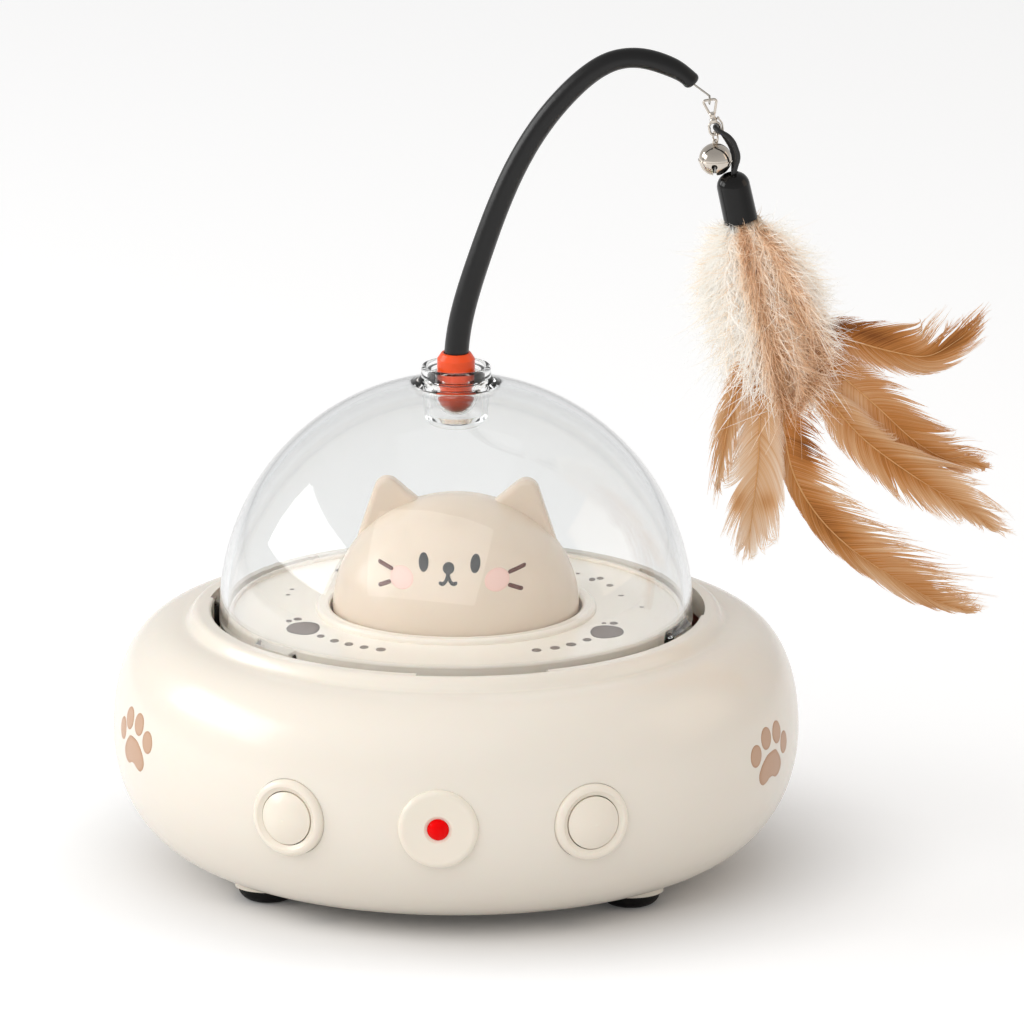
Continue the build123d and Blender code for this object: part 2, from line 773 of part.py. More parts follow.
def make_ear(side):
    """A round-cornered triangle with softened edges."""
    outline = make_face(Polyline(*ear_corners, close=True))
    tip = outline.vertices().sort_by(Axis.Y)[-1]
    outline = fillet(tip, ear_tip_round)
    ear = extrude(Plane.XZ.offset(-ear_back) * outline, ear_thick / 2, both=True)
    ear = fillet(ear.edges().filter_by(lambda e: e.center().Z > head_base + 10.2), ear_round)
    return ear if side > 0 else mirror(ear, Plane.YZ)


def make_head():
    """The shell with its three screw bosses."""
    head = half_egg(head_radius, head_height, neck_top)
    head += make_ear(1)
    head += make_ear(-1)
    hollow = half_egg(head_radius - head_wall, head_height - head_wall, neck_top - 1)
    head -= hollow
    for angle in head_screw_angles:
        x, y = on_circle(head_screw_circle, angle)
        boss = rod(3.0, neck_top, head_base + 8, x, y) & half_egg(head_radius - 0.5, head_height - 0.5, neck_top)
        head += boss
        head -= rod(screw_radius + 0.05, neck_top - 1, head_base + 5, x, y)
    return head


save("cat_head", make_head())

head_screws = []
for angle in head_screw_angles:
    x, y = on_circle(head_screw_circle, angle)
    head_screws.append(make_screw(x, y, neck_top - 3.6, neck_top - 2, head_base + 3, head=2.4))
save("head_screws", Compound(head_screws))

# ---- guide rollers and their pins ----
for name, angle in zip(roller_names, roller_angles):
    x, y = on_circle(roller_circle, angle)
    roller = rod(roller_radius, roller_top - roller_height, roller_top, x, y)
    roller = fillet(roller.edges().filter_by(GeomType.CIRCLE), 0.5)
    roller -= rod(roller_pin + axle_fit, roller_top - roller_height - 1, roller_top + 1, x, y)
    save("guide_roller_" + name, roller)

roller_pins = []
for angle in roller_angles:
    x, y = on_circle(roller_circle, angle)
    pin = rod(roller_pin, shelf_top - 2.4, roller_top + 0.4, x, y)
    pin += rod(roller_pin + 0.5, shelf_top, shelf_top + 0.25, x, y)
    head = rod(roller_pin + 0.6, roller_top + 0.05, roller_top + 0.75, x, y)
    pin += fillet(head.edges().filter_by(GeomType.CIRCLE).sort_by(Axis.Z)[-1:], 0.35)
    roller_pins.append(pin)
save("roller_pins", Compound(roller_pins))

# ---- buttons: a moulded bezel in the wall, a domed cap behind it and a switch on its board ----
cap_flange = cap_radius + 1.2
switch_side = 6.0
bezels = {}
switches = []
boards = []
for name, plane in button_frames.items():
    bezel = plane * turned(
        Polyline(
            (bezel_bore, bezel_step), (cap_flange + 0.3, bezel_step), (cap_flange + 0.3, flange_back),
            (bezel_radius + 1.1, flange_back), (bezel_radius + 1.1, flange_front), (bezel_radius, flange_front),
            (bezel_radius, 0.2),
        ),
        ThreePointArc(
            (bezel_radius, 0.2), (bezel_radius - 0.55, bezel_proud - 0.35), (bezel_radius - 1.7, bezel_proud)
        ),
        ThreePointArc(
            (bezel_radius - 1.7, bezel_proud), (bezel_bore + 0.7, bezel_proud - 0.35), (bezel_bore, bezel_proud - 0.7)
        ),
        Line((bezel_bore, bezel_proud - 0.7), (bezel_bore, bezel_step)),
    )
    save(name + "_bezel", bezel)
    cap = plane * turned(
        Polyline(
            (0, stem_end), (stem_radius, stem_end), (stem_radius, bezel_step - 1.7), (cap_flange, bezel_step - 1.7),
            (cap_flange, bezel_step - 0.3), (cap_radius, bezel_step - 0.3), (cap_radius, bezel_proud - 0.4),
        ),
        crown_arc(cap_radius, bezel_proud - 0.4, cap_proud),
        Line((0, cap_proud), (0, stem_end)),
    )
    save(name + "_button", cap)
    switch = plane * Pos(0, 0, (switch_body + switch_foot) / 2) * Box(switch_side, switch_side, switch_body - switch_foot)
    switch += plane * Pos(0, 0, (switch_top + switch_body) / 2) * Cylinder(1.7, switch_top - switch_body)
    switches.append(switch)
    board = plane * Pos(0, 0, (switch_foot + board_back) / 2) * Box(2 * board_boss_reach + 5, 10, board_thick)
    boards.append(board)
save("tact_switches", Compound(switches))
save("switch_boards", Compound(boards))

# ---- centre pad with the red lens and the laser behind it ----
recess_radius = lens_radius + 0.8
lens_back = pad_proud - 1.6
pad = pad_frame * turned(
    Polyline(
        (laser_radius, lens_back - 0.2), (laser_radius, -12), (pad_stem, -12), (pad_stem, -3.2),
        (pad_stem, -2.4), (pad_radius, -2.4), (pad_radius, pad_proud - 1.2),
    ),
    ThreePointArc(
        (pad_radius, pad_proud - 1.2), (pad_radius - 0.5, pad_proud - 0.4), (pad_radius - 1.6, pad_proud)
    ),
    Polyline(
        (pad_radius - 1.6, pad_proud), (recess_radius, pad_proud), (lens_radius + 0.05, pad_proud - 0.6),
        (lens_radius + 0.05, lens_back - 0.2), (laser_radius, lens_back - 0.2),
    ),
)
save("sensor_pad", pad - (skin & pad_frame * Pos(0, 0, -6) * Cylinder(pad_radius + 1, 14) - dish(
    pad_frame, (0, -20), (pad_stem + 0.1, -20), (pad_stem + 0.1, 5), (0, 5))))
lens = pad_frame * turned(
    Polyline((0, lens_back - 0.2), (lens_radius, lens_back - 0.2), (lens_radius, pad_proud - 0.5)),
    crown_arc(lens_radius, pad_proud - 0.5, pad_proud + 0.9),
    Line((0, pad_proud + 0.9), (0, lens_back - 0.2)),
)
save("red_lens", lens)
laser_front = lens_back - 0.3
laser = dish(
    pad_frame, (0, laser_front - laser_length), (laser_radius - 0.05, laser_front - laser_length),
    (laser_radius - 0.05, laser_front), (1.2, laser_front), (1.2, laser_front - 1.5), (0, laser_front - 1.5),
)
save("laser_module", laser)

# ---- charging port at the back ----
port = extrude(SlotOverall(port_width, port_tall), port_depth)
port -= Pos(0, 0, 1) * extrude(SlotOverall(port_width - 0.8, port_tall - 0.8), port_depth)
port += Pos(0, 0, port_depth / 2) * Box(port_width - 2.6, 0.7, port_depth - 1.2)
save("charge_port", port_frame * Pos(0, 0, -port_depth) * port)
port_board = port_frame * Pos(0, 0, -port_depth - board_thick / 2) * Box(port_width + 14, 9, board_thick)
save("port_board", port_board)

# ---- battery in its cradle and the main board ----
cell_z = cover_top + 1.2 + cell_radius
lying = Rot(0, 90, 0)
cell = Pos(0, cell_y, cell_z) * lying * Cylinder(cell_radius, cell_length)
cell = fillet(cell.edges().filter_by(GeomType.CIRCLE), 0.6)
cell += Pos(cell_length / 2 + 0.4, cell_y, cell_z) * lying * Cylinder(3.0, 1.0)
save("battery_cell", cell)
cradle = Pos(0, cell_y, cover_top + 5) * Box(cell_length + 6, 2 * cell_radius + 5, 10)
cradle -= Pos(0, cell_y, cell_z) * lying * Cylinder(cell_radius + 0.2, cell_length + 2)
cradle -= Pos(0, cell_y, cover_top + 6) * Box(cell_length - 24, 2 * cell_radius + 8, 9)
save("battery_cradle", cradle)
board_top = board_height + board_thick
board = Pos(0, main_board_y, board_height + board_thick / 2) * Box(main_board[0], main_board[1], board_thick)
board += Pos(-4, main_board_y, board_top + 0.8) * Box(9, 9, 1.8)
board += Pos(10, main_board_y + 4, board_top + 0.6) * Box(6, 5, 1.4)
for i in range(3):
    board += Pos(-16 + 16 * i, main_board_y - 9, board_top + 2.0) * Box(7, 4, 4.2)
for i in range(2):
    board += Pos(17, main_board_y - 2 + 7 * i, board_top + 2.4) * Cylinder(2.2, 5)
save("main_board", board)

# ---- wand: plug, tapered hose and the wire at its tip ----
groove_height = plug_top - 4.4


def make_plug():
    """The round-nosed plug with a groove, a sloping shoulder and a bore for the hose."""
    slope = math.sqrt(0.5)
    nose = plug_bottom + plug_radius
    bore = wand_root_radius + 0.05
    return turned(
        ThreePointArc((0, plug_bottom), (plug_radius * slope, nose - plug_radius * slope), (plug_radius, nose)),
        Polyline(
            (plug_radius, nose), (plug_radius, groove_height - 0.25), (plug_radius - 0.2, groove_height),
            (plug_radius, groove_height + 0.25), (plug_radius, plug_top - 1.6), (plug_radius - 0.9, plug_top - 0.2),
            (plug_radius - 1.1, plug_top), (bore, plug_top), (bore, plug_top - wand_depth),
            (0, plug_top - wand_depth), (0, plug_bottom),
        ),
    )


save("wand_plug", make_plug())

wand_start = plug_top - wand_depth
wand_tip = (59.0, plug_top + 69.9)
wand_route = Plane.XZ * Spline(
    (0, wand_start), (0.1, plug_top), (5.8, plug_top + 24.5), (15.5, plug_top + 49.2), (28.2, plug_top + 67.5),
    (44.3, plug_top + 76.5), (53.2, plug_top + 74.3), wand_tip, tangents=[(0, 1), (0.64, -0.77)],
)
wand_sections = 16
eye_x = clasp_eye_x
eye_z = plug_top + clasp_eye_rise
wire_loop = 1.0
wire_end = Vector(eye_x, 0, eye_z + wire_loop)
wire_way = (wire_end - Vector(wand_tip[0], 0, wand_tip[1])).normalized()
wire_start = wire_end - wire_way * 9.5


def make_wand():
    """The hose, lofted through round sections that thin towards the tip."""
    rings = []
    for i in range(wand_sections + 1):
        share = i / wand_sections
        radius = wand_root_radius + (wand_tip_radius - wand_root_radius) * share
        frame = Plane(origin=wand_route @ share, x_dir=(0, 1, 0), z_dir=wand_route % share)
        rings.append(frame * Circle(radius))
    hose = loft(rings)
    end = hose.faces().sort_by(lambda f: (f.center() - (wand_route @ 1)).length)[0]
    return fillet(end.edges(), 1.2)


def straight_rod(start, end, radius):
    """A round rod between two points."""
    way = end - start
    frame = Plane(origin=start, z_dir=way.normalized())
    return extrude(frame * Circle(radius), way.length)


wire_hole = straight_rod(wire_start - wire_way * 0.1, wire_end, wire_radius + 0.05)
save("wand_hose", make_wand() - wire_hole)
tip_wire = straight_rod(wire_start, wire_end, wire_radius)
tip_wire += Pos(eye_x, 0, eye_z) * Rot(0, 90, 0) * Torus(wire_loop, wire_radius)
save("tip_wire", tip_wire)

# ---- clasp: a pear-shaped eye, a waisted barrel, a round hook and its gate ----
shank_top = -3.3
shank_bottom = hook_top + hook_wire - 0.1
clasp_place = Pos(eye_x, 0, eye_z) * Rot(0, -clasp_tilt, 0)


def on_clasp(x, z):
    """A point given in the clasp's own frame."""
    return (clasp_place * Pos(x, 0, z)).position


def swept(path, radius):
    """A round rod along a path."""
    start = Plane(origin=path @ 0, z_dir=path % 0)
    return sweep(start * Circle(radius), path=path)


def make_clasp():
    """The clasp's body in its own frame, hanging from the eye's top bar."""
    eye = Plane.XZ * FilletPolyline(
        (eye_half, 0), (0.62, -3.6), (-0.62, -3.6), (-eye_half, 0),
        radius=[eye_round, 0.5, 0.5, eye_round], close=True,
    )
    hook = Plane.XZ * FilletPolyline(
        (hook_half, hook_bottom), (hook_half, hook_top), (-hook_half, hook_top), (-hook_half, hook_bottom),
        radius=hook_half - 0.3, close=True,
    )
    body = swept(eye, eye_wire) + swept(hook, hook_wire)
    middle = (shank_top + shank_bottom) / 2
    body += turned(
        Polyline((0, shank_bottom), (0.95, shank_bottom), (1.0, shank_bottom + 0.5)),
        ThreePointArc((1.0, shank_bottom + 0.5), (0.72, middle + 0.2), (0.95, shank_top - 0.3)),
        Polyline((0.95, shank_top - 0.3), (0.8, shank_top), (0, shank_top), (0, shank_bottom)),
    )
    return clasp_place * body


save("clasp_body", make_clasp())
gate_way = Plane.XZ * FilletPolyline((1.25, -4.9), (2.05, -6.4), (1.93, hook_bottom + 0.3), radius=1.5)
gate = swept(gate_way, 0.22) + Pos(1.25, 0, -4.9) * Sphere(0.38)
save("clasp_gate", clasp_place * gate)

# ---- bell: two cups with a rolled seam, crossed slots, a loop on top, a split ring and a pellet ----
slot_width = 0.9
hook_low = on_clasp(-0.15, hook_bottom)
ring_top = hook_low.Z + hook_wire + ring_wire + link_gap
loop_z = ring_top - 2 * ring_radius
bell_x = hook_low.X
bell_z = loop_z - bell_radius - bell_loop + 0.25
facing_out = Rot(0, 0, ring_turn_out) * Rot(0, 90, 0)


def make_cup(upper):
    """Half of the bell, open at the seam."""
    half = Sphere(bell_radius) - Sphere(bell_radius - bell_wall)
    side = 1 if upper else -1
    half &= Pos(0, 0, side * bell_radius) * Box(3 * bell_radius, 3 * bell_radius, 2 * bell_radius)
    if upper:
        half += Pos(0, 0, loop_z - bell_z) * facing_out * Torus(bell_loop, 0.22)
        half -= Sphere(bell_radius - bell_wall)
    else:
        half += tube(bell_radius + 0.18, bell_radius - 0.3, -0.35, 0.0)
        half -= Pos(0, 0, -bell_radius) * Box(slot_width, 3 * bell_radius, 2 * bell_radius * 0.8)
        half -= Pos(0, 0, -bell_radius) * Box(3 * bell_radius, slot_width, 2 * bell_radius * 0.8)
        for i in range(4):
            hole = Rot(0, 0, 90 * i) * Pos(bell_radius, 0, -0.25 * bell_radius) * Rot(0, 90, 0) * Cylinder(0.75, 4)
            half -= hole
    return Pos(bell_x, 0, bell_z) * half


save("bell_upper", make_cup(True))
save("bell_lower", make_cup(False))
save("bell_pellet", Pos(bell_x, 0, bell_z - bell_radius + bell_wall + 1.55) * Sphere(1.5))
ring_plane = Rot(0, 0, ring_turn_out) * Rot(90, 0, 0)
save("bell_ring", Pos(bell_x, 0, loop_z + ring_radius) * ring_plane * Torus(ring_radius, ring_wire))

# ---- cord loop from the clasp's hook to the lure's cap ----
way_x = math.sin(math.radians(cap_tilt))
way_z = -math.cos(math.radians(cap_tilt))
cord_place = on_clasp(0.2, hook_bottom + 1.9)
cord_end = 2.6
strand = 0.7
cord_points = [
    (cap_x + way_x * cord_end, strand, cap_z + way_z * cord_end),
    (cap_x + 0.8, strand + 0.35, cap_z + 1.7),
    (cap_x + 0.4, 4.5, cap_z + 4.7),
    (cap_x - 1.8, 4.0, cap_z + 8.6),
    (cord_place.X, 2.1, cord_place.Z),
    (cord_place.X, -1.8, cord_place.Z),
    (cap_x + 0.5, -2.4, cap_z + 9.6),
    (cap_x + 2.2, -1.9, cap_z + 4.6),
    (cap_x + 1.1, -strand - 0.2, cap_z + 1.3),
    (cap_x + way_x * cord_end, -strand, cap_z + way_z * cord_end),
]


def corner_radii(points):
    """A bend radius for each inner point: as large as its two runs allow."""
    radii = []
    for before, point, after in zip(points, points[1:], points[2:]):
        inward = Vector(*point) - Vector(*before)
        outward = Vector(*after) - Vector(*point)
        turn = math.radians(inward.get_angle(outward))
        radii.append(0.45 * min(inward.length, outward.length) / math.tan(turn / 2))
    return radii


cord_path = FilletPolyline(*cord_points, radius=corner_radii(cord_points))
save("cord_loop", swept(cord_path, cord_radius))

# ---- lure: a round-topped cap, the down that it grips and six flight feathers ----
cap_frame = Plane(origin=(cap_x, 0, cap_z), x_dir=(0, 1, 0), z_dir=(-way_x, 0, -way_z))
cap_round = 3.4
grip_depth = 8.0
grip_radius = 3.5


def make_lure_cap():
    """The cap: closed and round on top with a hole for the cord, open below."""
    cap = cap_frame * turned(
        Line((0, -lure_cap_length), (lure_cap_radius, -lure_cap_length)),
        Line((lure_cap_radius, -lure_cap_length), (lure_cap_radius - 0.1, -cap_round)),
        ThreePointArc((lure_cap_radius - 0.1, -cap_round), (lure_cap_radius - 1.15, -0.95), (1.4, 0)),
        Line((1.4, 0), (0, 0)),
        Line((0, 0), (0, -lure_cap_length)),
    )
    cap -= cap_frame * rod(grip_radius, -lure_cap_length - 1, -lure_cap_length + grip_depth)
    inside = cap_frame * rod(strand + cord_radius + 0.55, -lure_cap_length + grip_depth - 1, 2)
    return cap - inside


save("feather_cap", make_lure_cap())

# Each feather: its layer in depth, then its shaft from the cap's top as (x, z, half width above, half width below).
feathers = {
    "feather_upper": (3.9, [(13.8, -40.0, 3.0, 3.0), (27.1, -43.1, 5.5, 6.5), (39.8, -46.5, 7.5, 6.0),
                            (48.8, -47.5, 9.0, 5.0), (56.3, -42.8, 5.0, 4.5), (61.1, -38.1, 0.6, 0.6)]),
    "feather_right": (2.4, [(12.8, -45.5, 3.0, 3.0), (24.1, -50.3, 5.5, 5.0), (34.8, -59.0, 8.0, 7.0),
                            (45.2, -68.7, 8.0, 7.0), (52.8, -73.3, 5.5, 5.0), (60.8, -72.7, 0.6, 0.6)]),
    "feather_outer": (0.9, [(11.8, -48.5, 3.0, 3.0), (22.8, -57.0, 4.5, 5.0), (32.8, -68.1, 6.0, 6.0),
                            (44.8, -77.2, 7.0, 7.0), (55.8, -84.0, 7.0, 6.5), (65.3, -90.0, 1.5, 1.0)]),
    "feather_long": (-0.7, [(9.8, -48.5, 3.0, 3.0), (12.7, -61.5, 7.5, 3.0), (15.2, -75.5, 9.5, 3.0),
                            (20.8, -86.5, 9.5, 3.5), (29.8, -96.0, 9.0, 4.0), (41.8, -104.2, 9.0, 3.5),
                            (50.8, -109.7, 5.0, 1.8), (58.8, -111.1, 0.6, 0.6)]),
    "feather_front": (-2.2, [(6.8, -44.5, 3.5, 3.5), (7.3, -58.5, 6.0, 6.0), (7.0, -73.5, 6.7, 7.7),
                             (5.8, -84.5, 7.0, 7.3), (5.0, -92.5, 5.0, 5.0), (4.7, -97.3, 2.0, 2.0)]),
    "feather_left": (-3.7, [(5.3, -42.5, 2.0, 2.0), (2.3, -52.5, 3.2, 3.2), (-0.2, -62.5, 3.6, 3.6),
                            (-1.8, -71.5, 3.0, 3.0), (-3.2, -80.5, 0.5, 0.5)]),
}


def make_feather(layer, stations):
    """A flat blade whose two edges run beside the shaft at the given half widths."""
    above = []
    below = []
    for i, (aside, down, wide, narrow) in enumerate(stations):
        x = cap_x + aside
        z = cap_z + down
        before = stations[max(i - 1, 0)]
        after = stations[min(i + 1, len(stations) - 1)]
        run_x = after[0] - before[0]
        run_z = after[1] - before[1]
        length = math.hypot(run_x, run_z)
        above.append((x - run_z / length * wide, z + run_x / length * wide))
        below.append((x + run_z / length * narrow, z - run_x / length * narrow))
    outline = make_face([
        Spline(*above), Line(above[-1], below[-1]), Spline(*reversed(below)), Line(below[0], above[0])
    ])
    return extrude(Plane.XZ.offset(-layer) * outline, feather_thick / 2, both=True)


blades = {name: make_feather(*spec) for name, spec in feathers.items()}
for name, blade in blades.items():
    save(name, blade)

tuft_neck = lure_cap_length + 0.3
tuft_sections = [
    (cap_x + way_x * tuft_neck, cap_z + way_z * tuft_neck, 3.4, 3.4, cap_tilt),
    (cap_x + 3.7, cap_z - 19.0, 8.5, 7.5, 14),
    (cap_x + 6.0, cap_z - 29.5, 12.5, 9.8, 15),
    (cap_x + 8.6, cap_z - 39.5, 15.0, 10.5, 17),
    (cap_x + 10.8, cap_z - 48.0, 14.0, 9.0, 19),
    (cap_x + 12.0, cap_z - 53.5, 9.0, 6.0, 20),
    (cap_x + 12.6, cap_z - 56.3, 3.0, 2.2, 20),
]


def make_tuft():
    """The clump of down as one lofted clump, slit where the feathers stand in it."""
    rings = []
    for x, z, across, deep, lean in tuft_sections:
        turn = math.radians(lean)
        frame = Plane(origin=(x, 0, z), x_dir=(math.cos(turn), 0, math.sin(turn)), z_dir=(math.sin(turn), 0, -math.cos(turn)))
        rings.append(frame * Ellipse(across, deep))
    tuft = loft(rings)
    tuft += cap_frame * rod(grip_radius - 0.05, -tuft_neck - 0.2, -lure_cap_length + grip_depth - 0.3)
    for blade in blades.values():
        tuft -= blade
    return tuft


save("down_tuft", make_tuft())
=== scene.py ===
import math

import bpy
import numpy as np
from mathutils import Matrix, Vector


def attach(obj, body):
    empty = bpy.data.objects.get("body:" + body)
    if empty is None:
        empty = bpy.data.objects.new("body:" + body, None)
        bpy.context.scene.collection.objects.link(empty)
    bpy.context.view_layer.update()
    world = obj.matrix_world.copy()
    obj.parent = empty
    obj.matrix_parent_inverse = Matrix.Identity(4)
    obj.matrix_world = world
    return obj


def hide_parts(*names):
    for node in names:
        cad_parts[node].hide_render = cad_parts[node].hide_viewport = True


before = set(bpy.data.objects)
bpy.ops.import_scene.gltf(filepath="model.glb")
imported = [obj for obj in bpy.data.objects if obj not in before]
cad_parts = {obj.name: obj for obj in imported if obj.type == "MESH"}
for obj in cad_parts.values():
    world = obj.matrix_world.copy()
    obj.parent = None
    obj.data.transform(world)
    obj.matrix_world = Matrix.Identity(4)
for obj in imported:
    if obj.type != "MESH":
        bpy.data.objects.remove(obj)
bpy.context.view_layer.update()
MM = 0.001

# ---- studio ----
# A pale sweep of paper with the toy on it, seen from a little above through a very long lens.
# Softboxes stand on the left and the right, and wide silks in front and overhead, in a white room.
view_turn = math.radians(3.0)
view_rise = math.radians(15.5)
view_aim = Vector((13.9, 0.0, 91.35)) * MM
view_width = 254.1 * MM
view_distance = 1.5
lamp_aim = (0.0, 0.0, 0.06)


def linear(code, alpha=1.0):
    """An sRGB hex code as linear red, green and blue, with alpha after them."""
    shares = [int(code[i:i + 2], 16) / 255 for i in (1, 3, 5)]
    return [s / 12.92 if s <= 0.04045 else ((s + 0.055) / 1.055) ** 2.4 for s in shares] + [alpha]


def add(owner, kind, inputs=None, **settings):
    """Adds one shader node with its settings, and sets or joins its inputs."""
    node = owner.node_tree.nodes.new("ShaderNode" + kind)
    for name, value in settings.items():
        setattr(node, name, value)
    for name, value in (inputs or {}).items():
        if isinstance(value, bpy.types.NodeSocket):
            owner.node_tree.links.new(value, node.inputs[name])
        else:
            node.inputs[name].default_value = value
    return node


def reckon(owner, operation, *values):
    """The outcome of a sum on numbers and sockets."""
    return add(owner, "Math", dict(enumerate(values)), operation=operation).outputs[0]


def carried(owner, value, start, end, low, high, **settings):
    """A value carried over from the range start to end into the range low to high."""
    ends = {"Value": value, "From Min": start, "From Max": end, "To Min": low, "To Max": high}
    return add(owner, "MapRange", ends, **settings).outputs["Result"]


def on_rays(owner, *kinds):
    """1 on rays of any of the kinds named, and 0 on the others."""
    ray = add(owner, "LightPath")
    seen = ray.outputs["Is " + kinds[0] + " Ray"]
    for kind in kinds[1:]:
        seen = reckon(owner, "MAXIMUM", seen, ray.outputs["Is " + kind + " Ray"])
    return seen


def look_from(item, place, aim):
    """Puts a lamp or camera at a place and turns it to a point."""
    item.location = place
    item.rotation_mode = "QUATERNION"
    item.rotation_quaternion = (Vector(aim) - Vector(place)).to_track_quat("-Z", "Y")


camera = bpy.data.objects.new("camera", bpy.data.cameras.new("camera"))
bpy.context.scene.collection.objects.link(camera)
camera.data.type = "ORTHO"
camera.data.ortho_scale = view_width
camera.data.clip_end = 20.0
view_back = Vector((
    math.sin(view_turn) * math.cos(view_rise),
    -math.cos(view_turn) * math.cos(view_rise),
    math.sin(view_rise),
))
look_from(camera, view_aim + view_back * view_distance, view_aim)
bpy.context.scene.camera = camera
bpy.context.scene.view_settings.view_transform = "Standard"


def softbox(name, place, size, power, tint="#ffffff", mirrored=True):
    """A rectangular area lamp aimed at the toy's middle. A silk is too wide for gloss to mirror."""
    lamp = bpy.data.objects.new(name, bpy.data.lights.new(name, "AREA"))
    bpy.context.scene.collection.objects.link(lamp)
    lamp.data.shape = "RECTANGLE"
    lamp.data.size, lamp.data.size_y = size
    lamp.data.energy = power
    lamp.data.color = linear(tint)[:3]
    lamp.visible_glossy = mirrored
    look_from(lamp, place, lamp_aim)


softbox("left_softbox", (-1.00, 0.00, 0.50), (0.95, 0.45), 5.0)
softbox("right_softbox", (1.00, 0.10, 0.50), (0.60, 0.60), 0.8, "#ffe0c0")
softbox("front_softbox", (-0.45, -1.60, 1.50), (2.40, 1.80), 20.5, mirrored=False)
softbox("top_softbox", (0.0, 0.10, 1.20), (0.90, 0.90), 1.2, mirrored=False)

# The room lights the toy from all round, less from overhead, and is plain white where it is seen.
room_low, room_high = 0.66, 0.48
room = bpy.data.worlds.new("white_room")
bpy.context.scene.world = room
room.use_nodes = True
room_light = room.node_tree.nodes["Background"]
room_light.inputs["Color"].default_value = (1, 1, 1, 1)
room_place = add(room, "TexCoord")
room_way = add(room, "SeparateXYZ", {0: room_place.outputs["Generated"]})
room_glow = carried(room, room_way.outputs["Z"], 0.0, 0.8, room_low, room_high)
room_strength = reckon(room, "MAXIMUM", room_glow, on_rays(room, "Camera", "Transmission"))
room.node_tree.links.new(room_strength, room_light.inputs["Strength"])

# Matt paper whose own glow, weak near the toy, lifts it to white where nothing shades it.
glow_near, glow_far = 65.0 * MM, 130.0 * MM
glow_low, glow_high = 0.03, 0.30
floor_half = 3.0
paper = bpy.data.materials.new("white_paper")
paper.use_nodes = True
paper_shader = paper.node_tree.nodes["Principled BSDF"]
paper_shader.inputs["Base Color"].default_value = linear("#e8e8e8")
paper_shader.inputs["Roughness"].default_value = 0.9
paper_shader.inputs["Specular IOR Level"].default_value = 0.1
paper_shader.inputs["Emission Color"].default_value = (1, 1, 1, 1)
paper_seen = on_rays(paper, "Camera", "Transmission", "Glossy")
paper_place = add(paper, "TexCoord")
paper_far = add(paper, "VectorMath", {0: paper_place.outputs["Object"]}, operation="LENGTH")
paper_lift = carried(
    paper, paper_far.outputs["Value"], glow_near, glow_far, glow_low, glow_high,
    interpolation_type="SMOOTHSTEP",
)
paper_glow = reckon(paper, "MULTIPLY", paper_seen, paper_lift)
paper.node_tree.links.new(paper_glow, paper_shader.inputs["Emission Strength"])
floor_corners = [(-1, -1), (1, -1), (1, 1), (-1, 1)]
floor_mesh = bpy.data.meshes.new("floor")
floor_mesh.from_pydata([(x * floor_half, y * floor_half, 0) for x, y in floor_corners], [], [(0, 1, 2, 3)])
floor_mesh.materials.append(paper)
floor = bpy.data.objects.new("floor", floor_mesh)
bpy.context.scene.collection.objects.link(floor)

# ---- housing: upper shell and bottom cover ----
# Two warm white ABS mouldings from polished tools, screwed together from below.
# A faint orange peel breaks the highlights, and the colour drifts a little across the skin.
shell_light = "#f0e7da"
shell_deep = "#eee4d6"
drift_size = 60.0
drift_gloss = 0.008


def plain_material(name, colour, roughness, **sockets):
    """A new material with one shader, its constants set on the shader's own sockets."""
    material = bpy.data.materials.new(name)
    material.use_nodes = True
    shader = material.node_tree.nodes["Principled BSDF"]
    shader.inputs["Base Color"].default_value = linear(colour)
    shader.inputs["Roughness"].default_value = roughness
    for key, value in sockets.items():
        shader.inputs[key.replace("_", " ")].default_value = value
    return material


def join(material, source, key, node="Principled BSDF"):
    """Joins a socket to an input of the material's shader, or of its output."""
    material.node_tree.links.new(source, material.node_tree.nodes[node].inputs[key])


def cloud(material, place, size, detail):
    """Noise in the piece's own frame, over patches of a size in mm."""
    inputs = {"Vector": place.outputs["Object"], "Scale": 1000.0 / size, "Detail": detail}
    return add(material, "TexNoise", inputs).outputs["Fac"]


def tone_ramp(material, source, *tones):
    """A colour ramp over a value: places and colours, in order."""
    node = add(material, "ValToRGB", {"Fac": source})
    first, last = node.color_ramp.elements
    (first.position, first_colour), (last.position, last_colour) = tones[0], tones[-1]
    first.color, last.color = linear(first_colour), linear(last_colour)
    for place, colour in tones[1:-1]:
        node.color_ramp.elements.new(place).color = linear(colour)
    return node.outputs["Color"]


def mottle(material, low, high, size, roughness, spread):
    """Drifts the colour between two tones, and the roughness about its mean, over patches of a size."""
    place = add(material, "TexCoord")
    noise = cloud(material, place, size, 1.0)
    join(material, tone_ramp(material, noise, (0.0, low), (1.0, high)), "Base Color")
    join(material, carried(material, noise, 0.0, 1.0, roughness - spread, roughness + spread), "Roughness")
    return place


def grain(material, place, size, depth):
    """Bump from fine noise: grain size and depth in mm."""
    height = cloud(material, place, size, 2.0)
    bump = add(material, "Bump", {"Height": height, "Distance": depth * MM, "Strength": 1.0})
    join(material, bump.outputs["Normal"], "Normal")


def moulded(name, low, high, roughness, grain_size=0.9, grain_depth=0.004, **sockets):
    """A moulded plastic: two close tones, slightly uneven gloss and a fine orange peel."""
    material = plain_material(name, low, roughness, **sockets)
    grain(material, mottle(material, low, high, drift_size, roughness, drift_gloss), grain_size, grain_depth)
    return material


def moulded_abs(name, low, high, roughness, grain_size, grain_depth, depth, coat, coat_rough):
    """Opaque ABS under a thin gloss: light goes a few mm into it before it comes out again."""
    return moulded(
        name, low, high, roughness, grain_size, grain_depth, IOR=1.53, Subsurface_Weight=0.08,
        Subsurface_Scale=depth, Coat_Weight=coat, Coat_Roughness=coat_rough,
    )


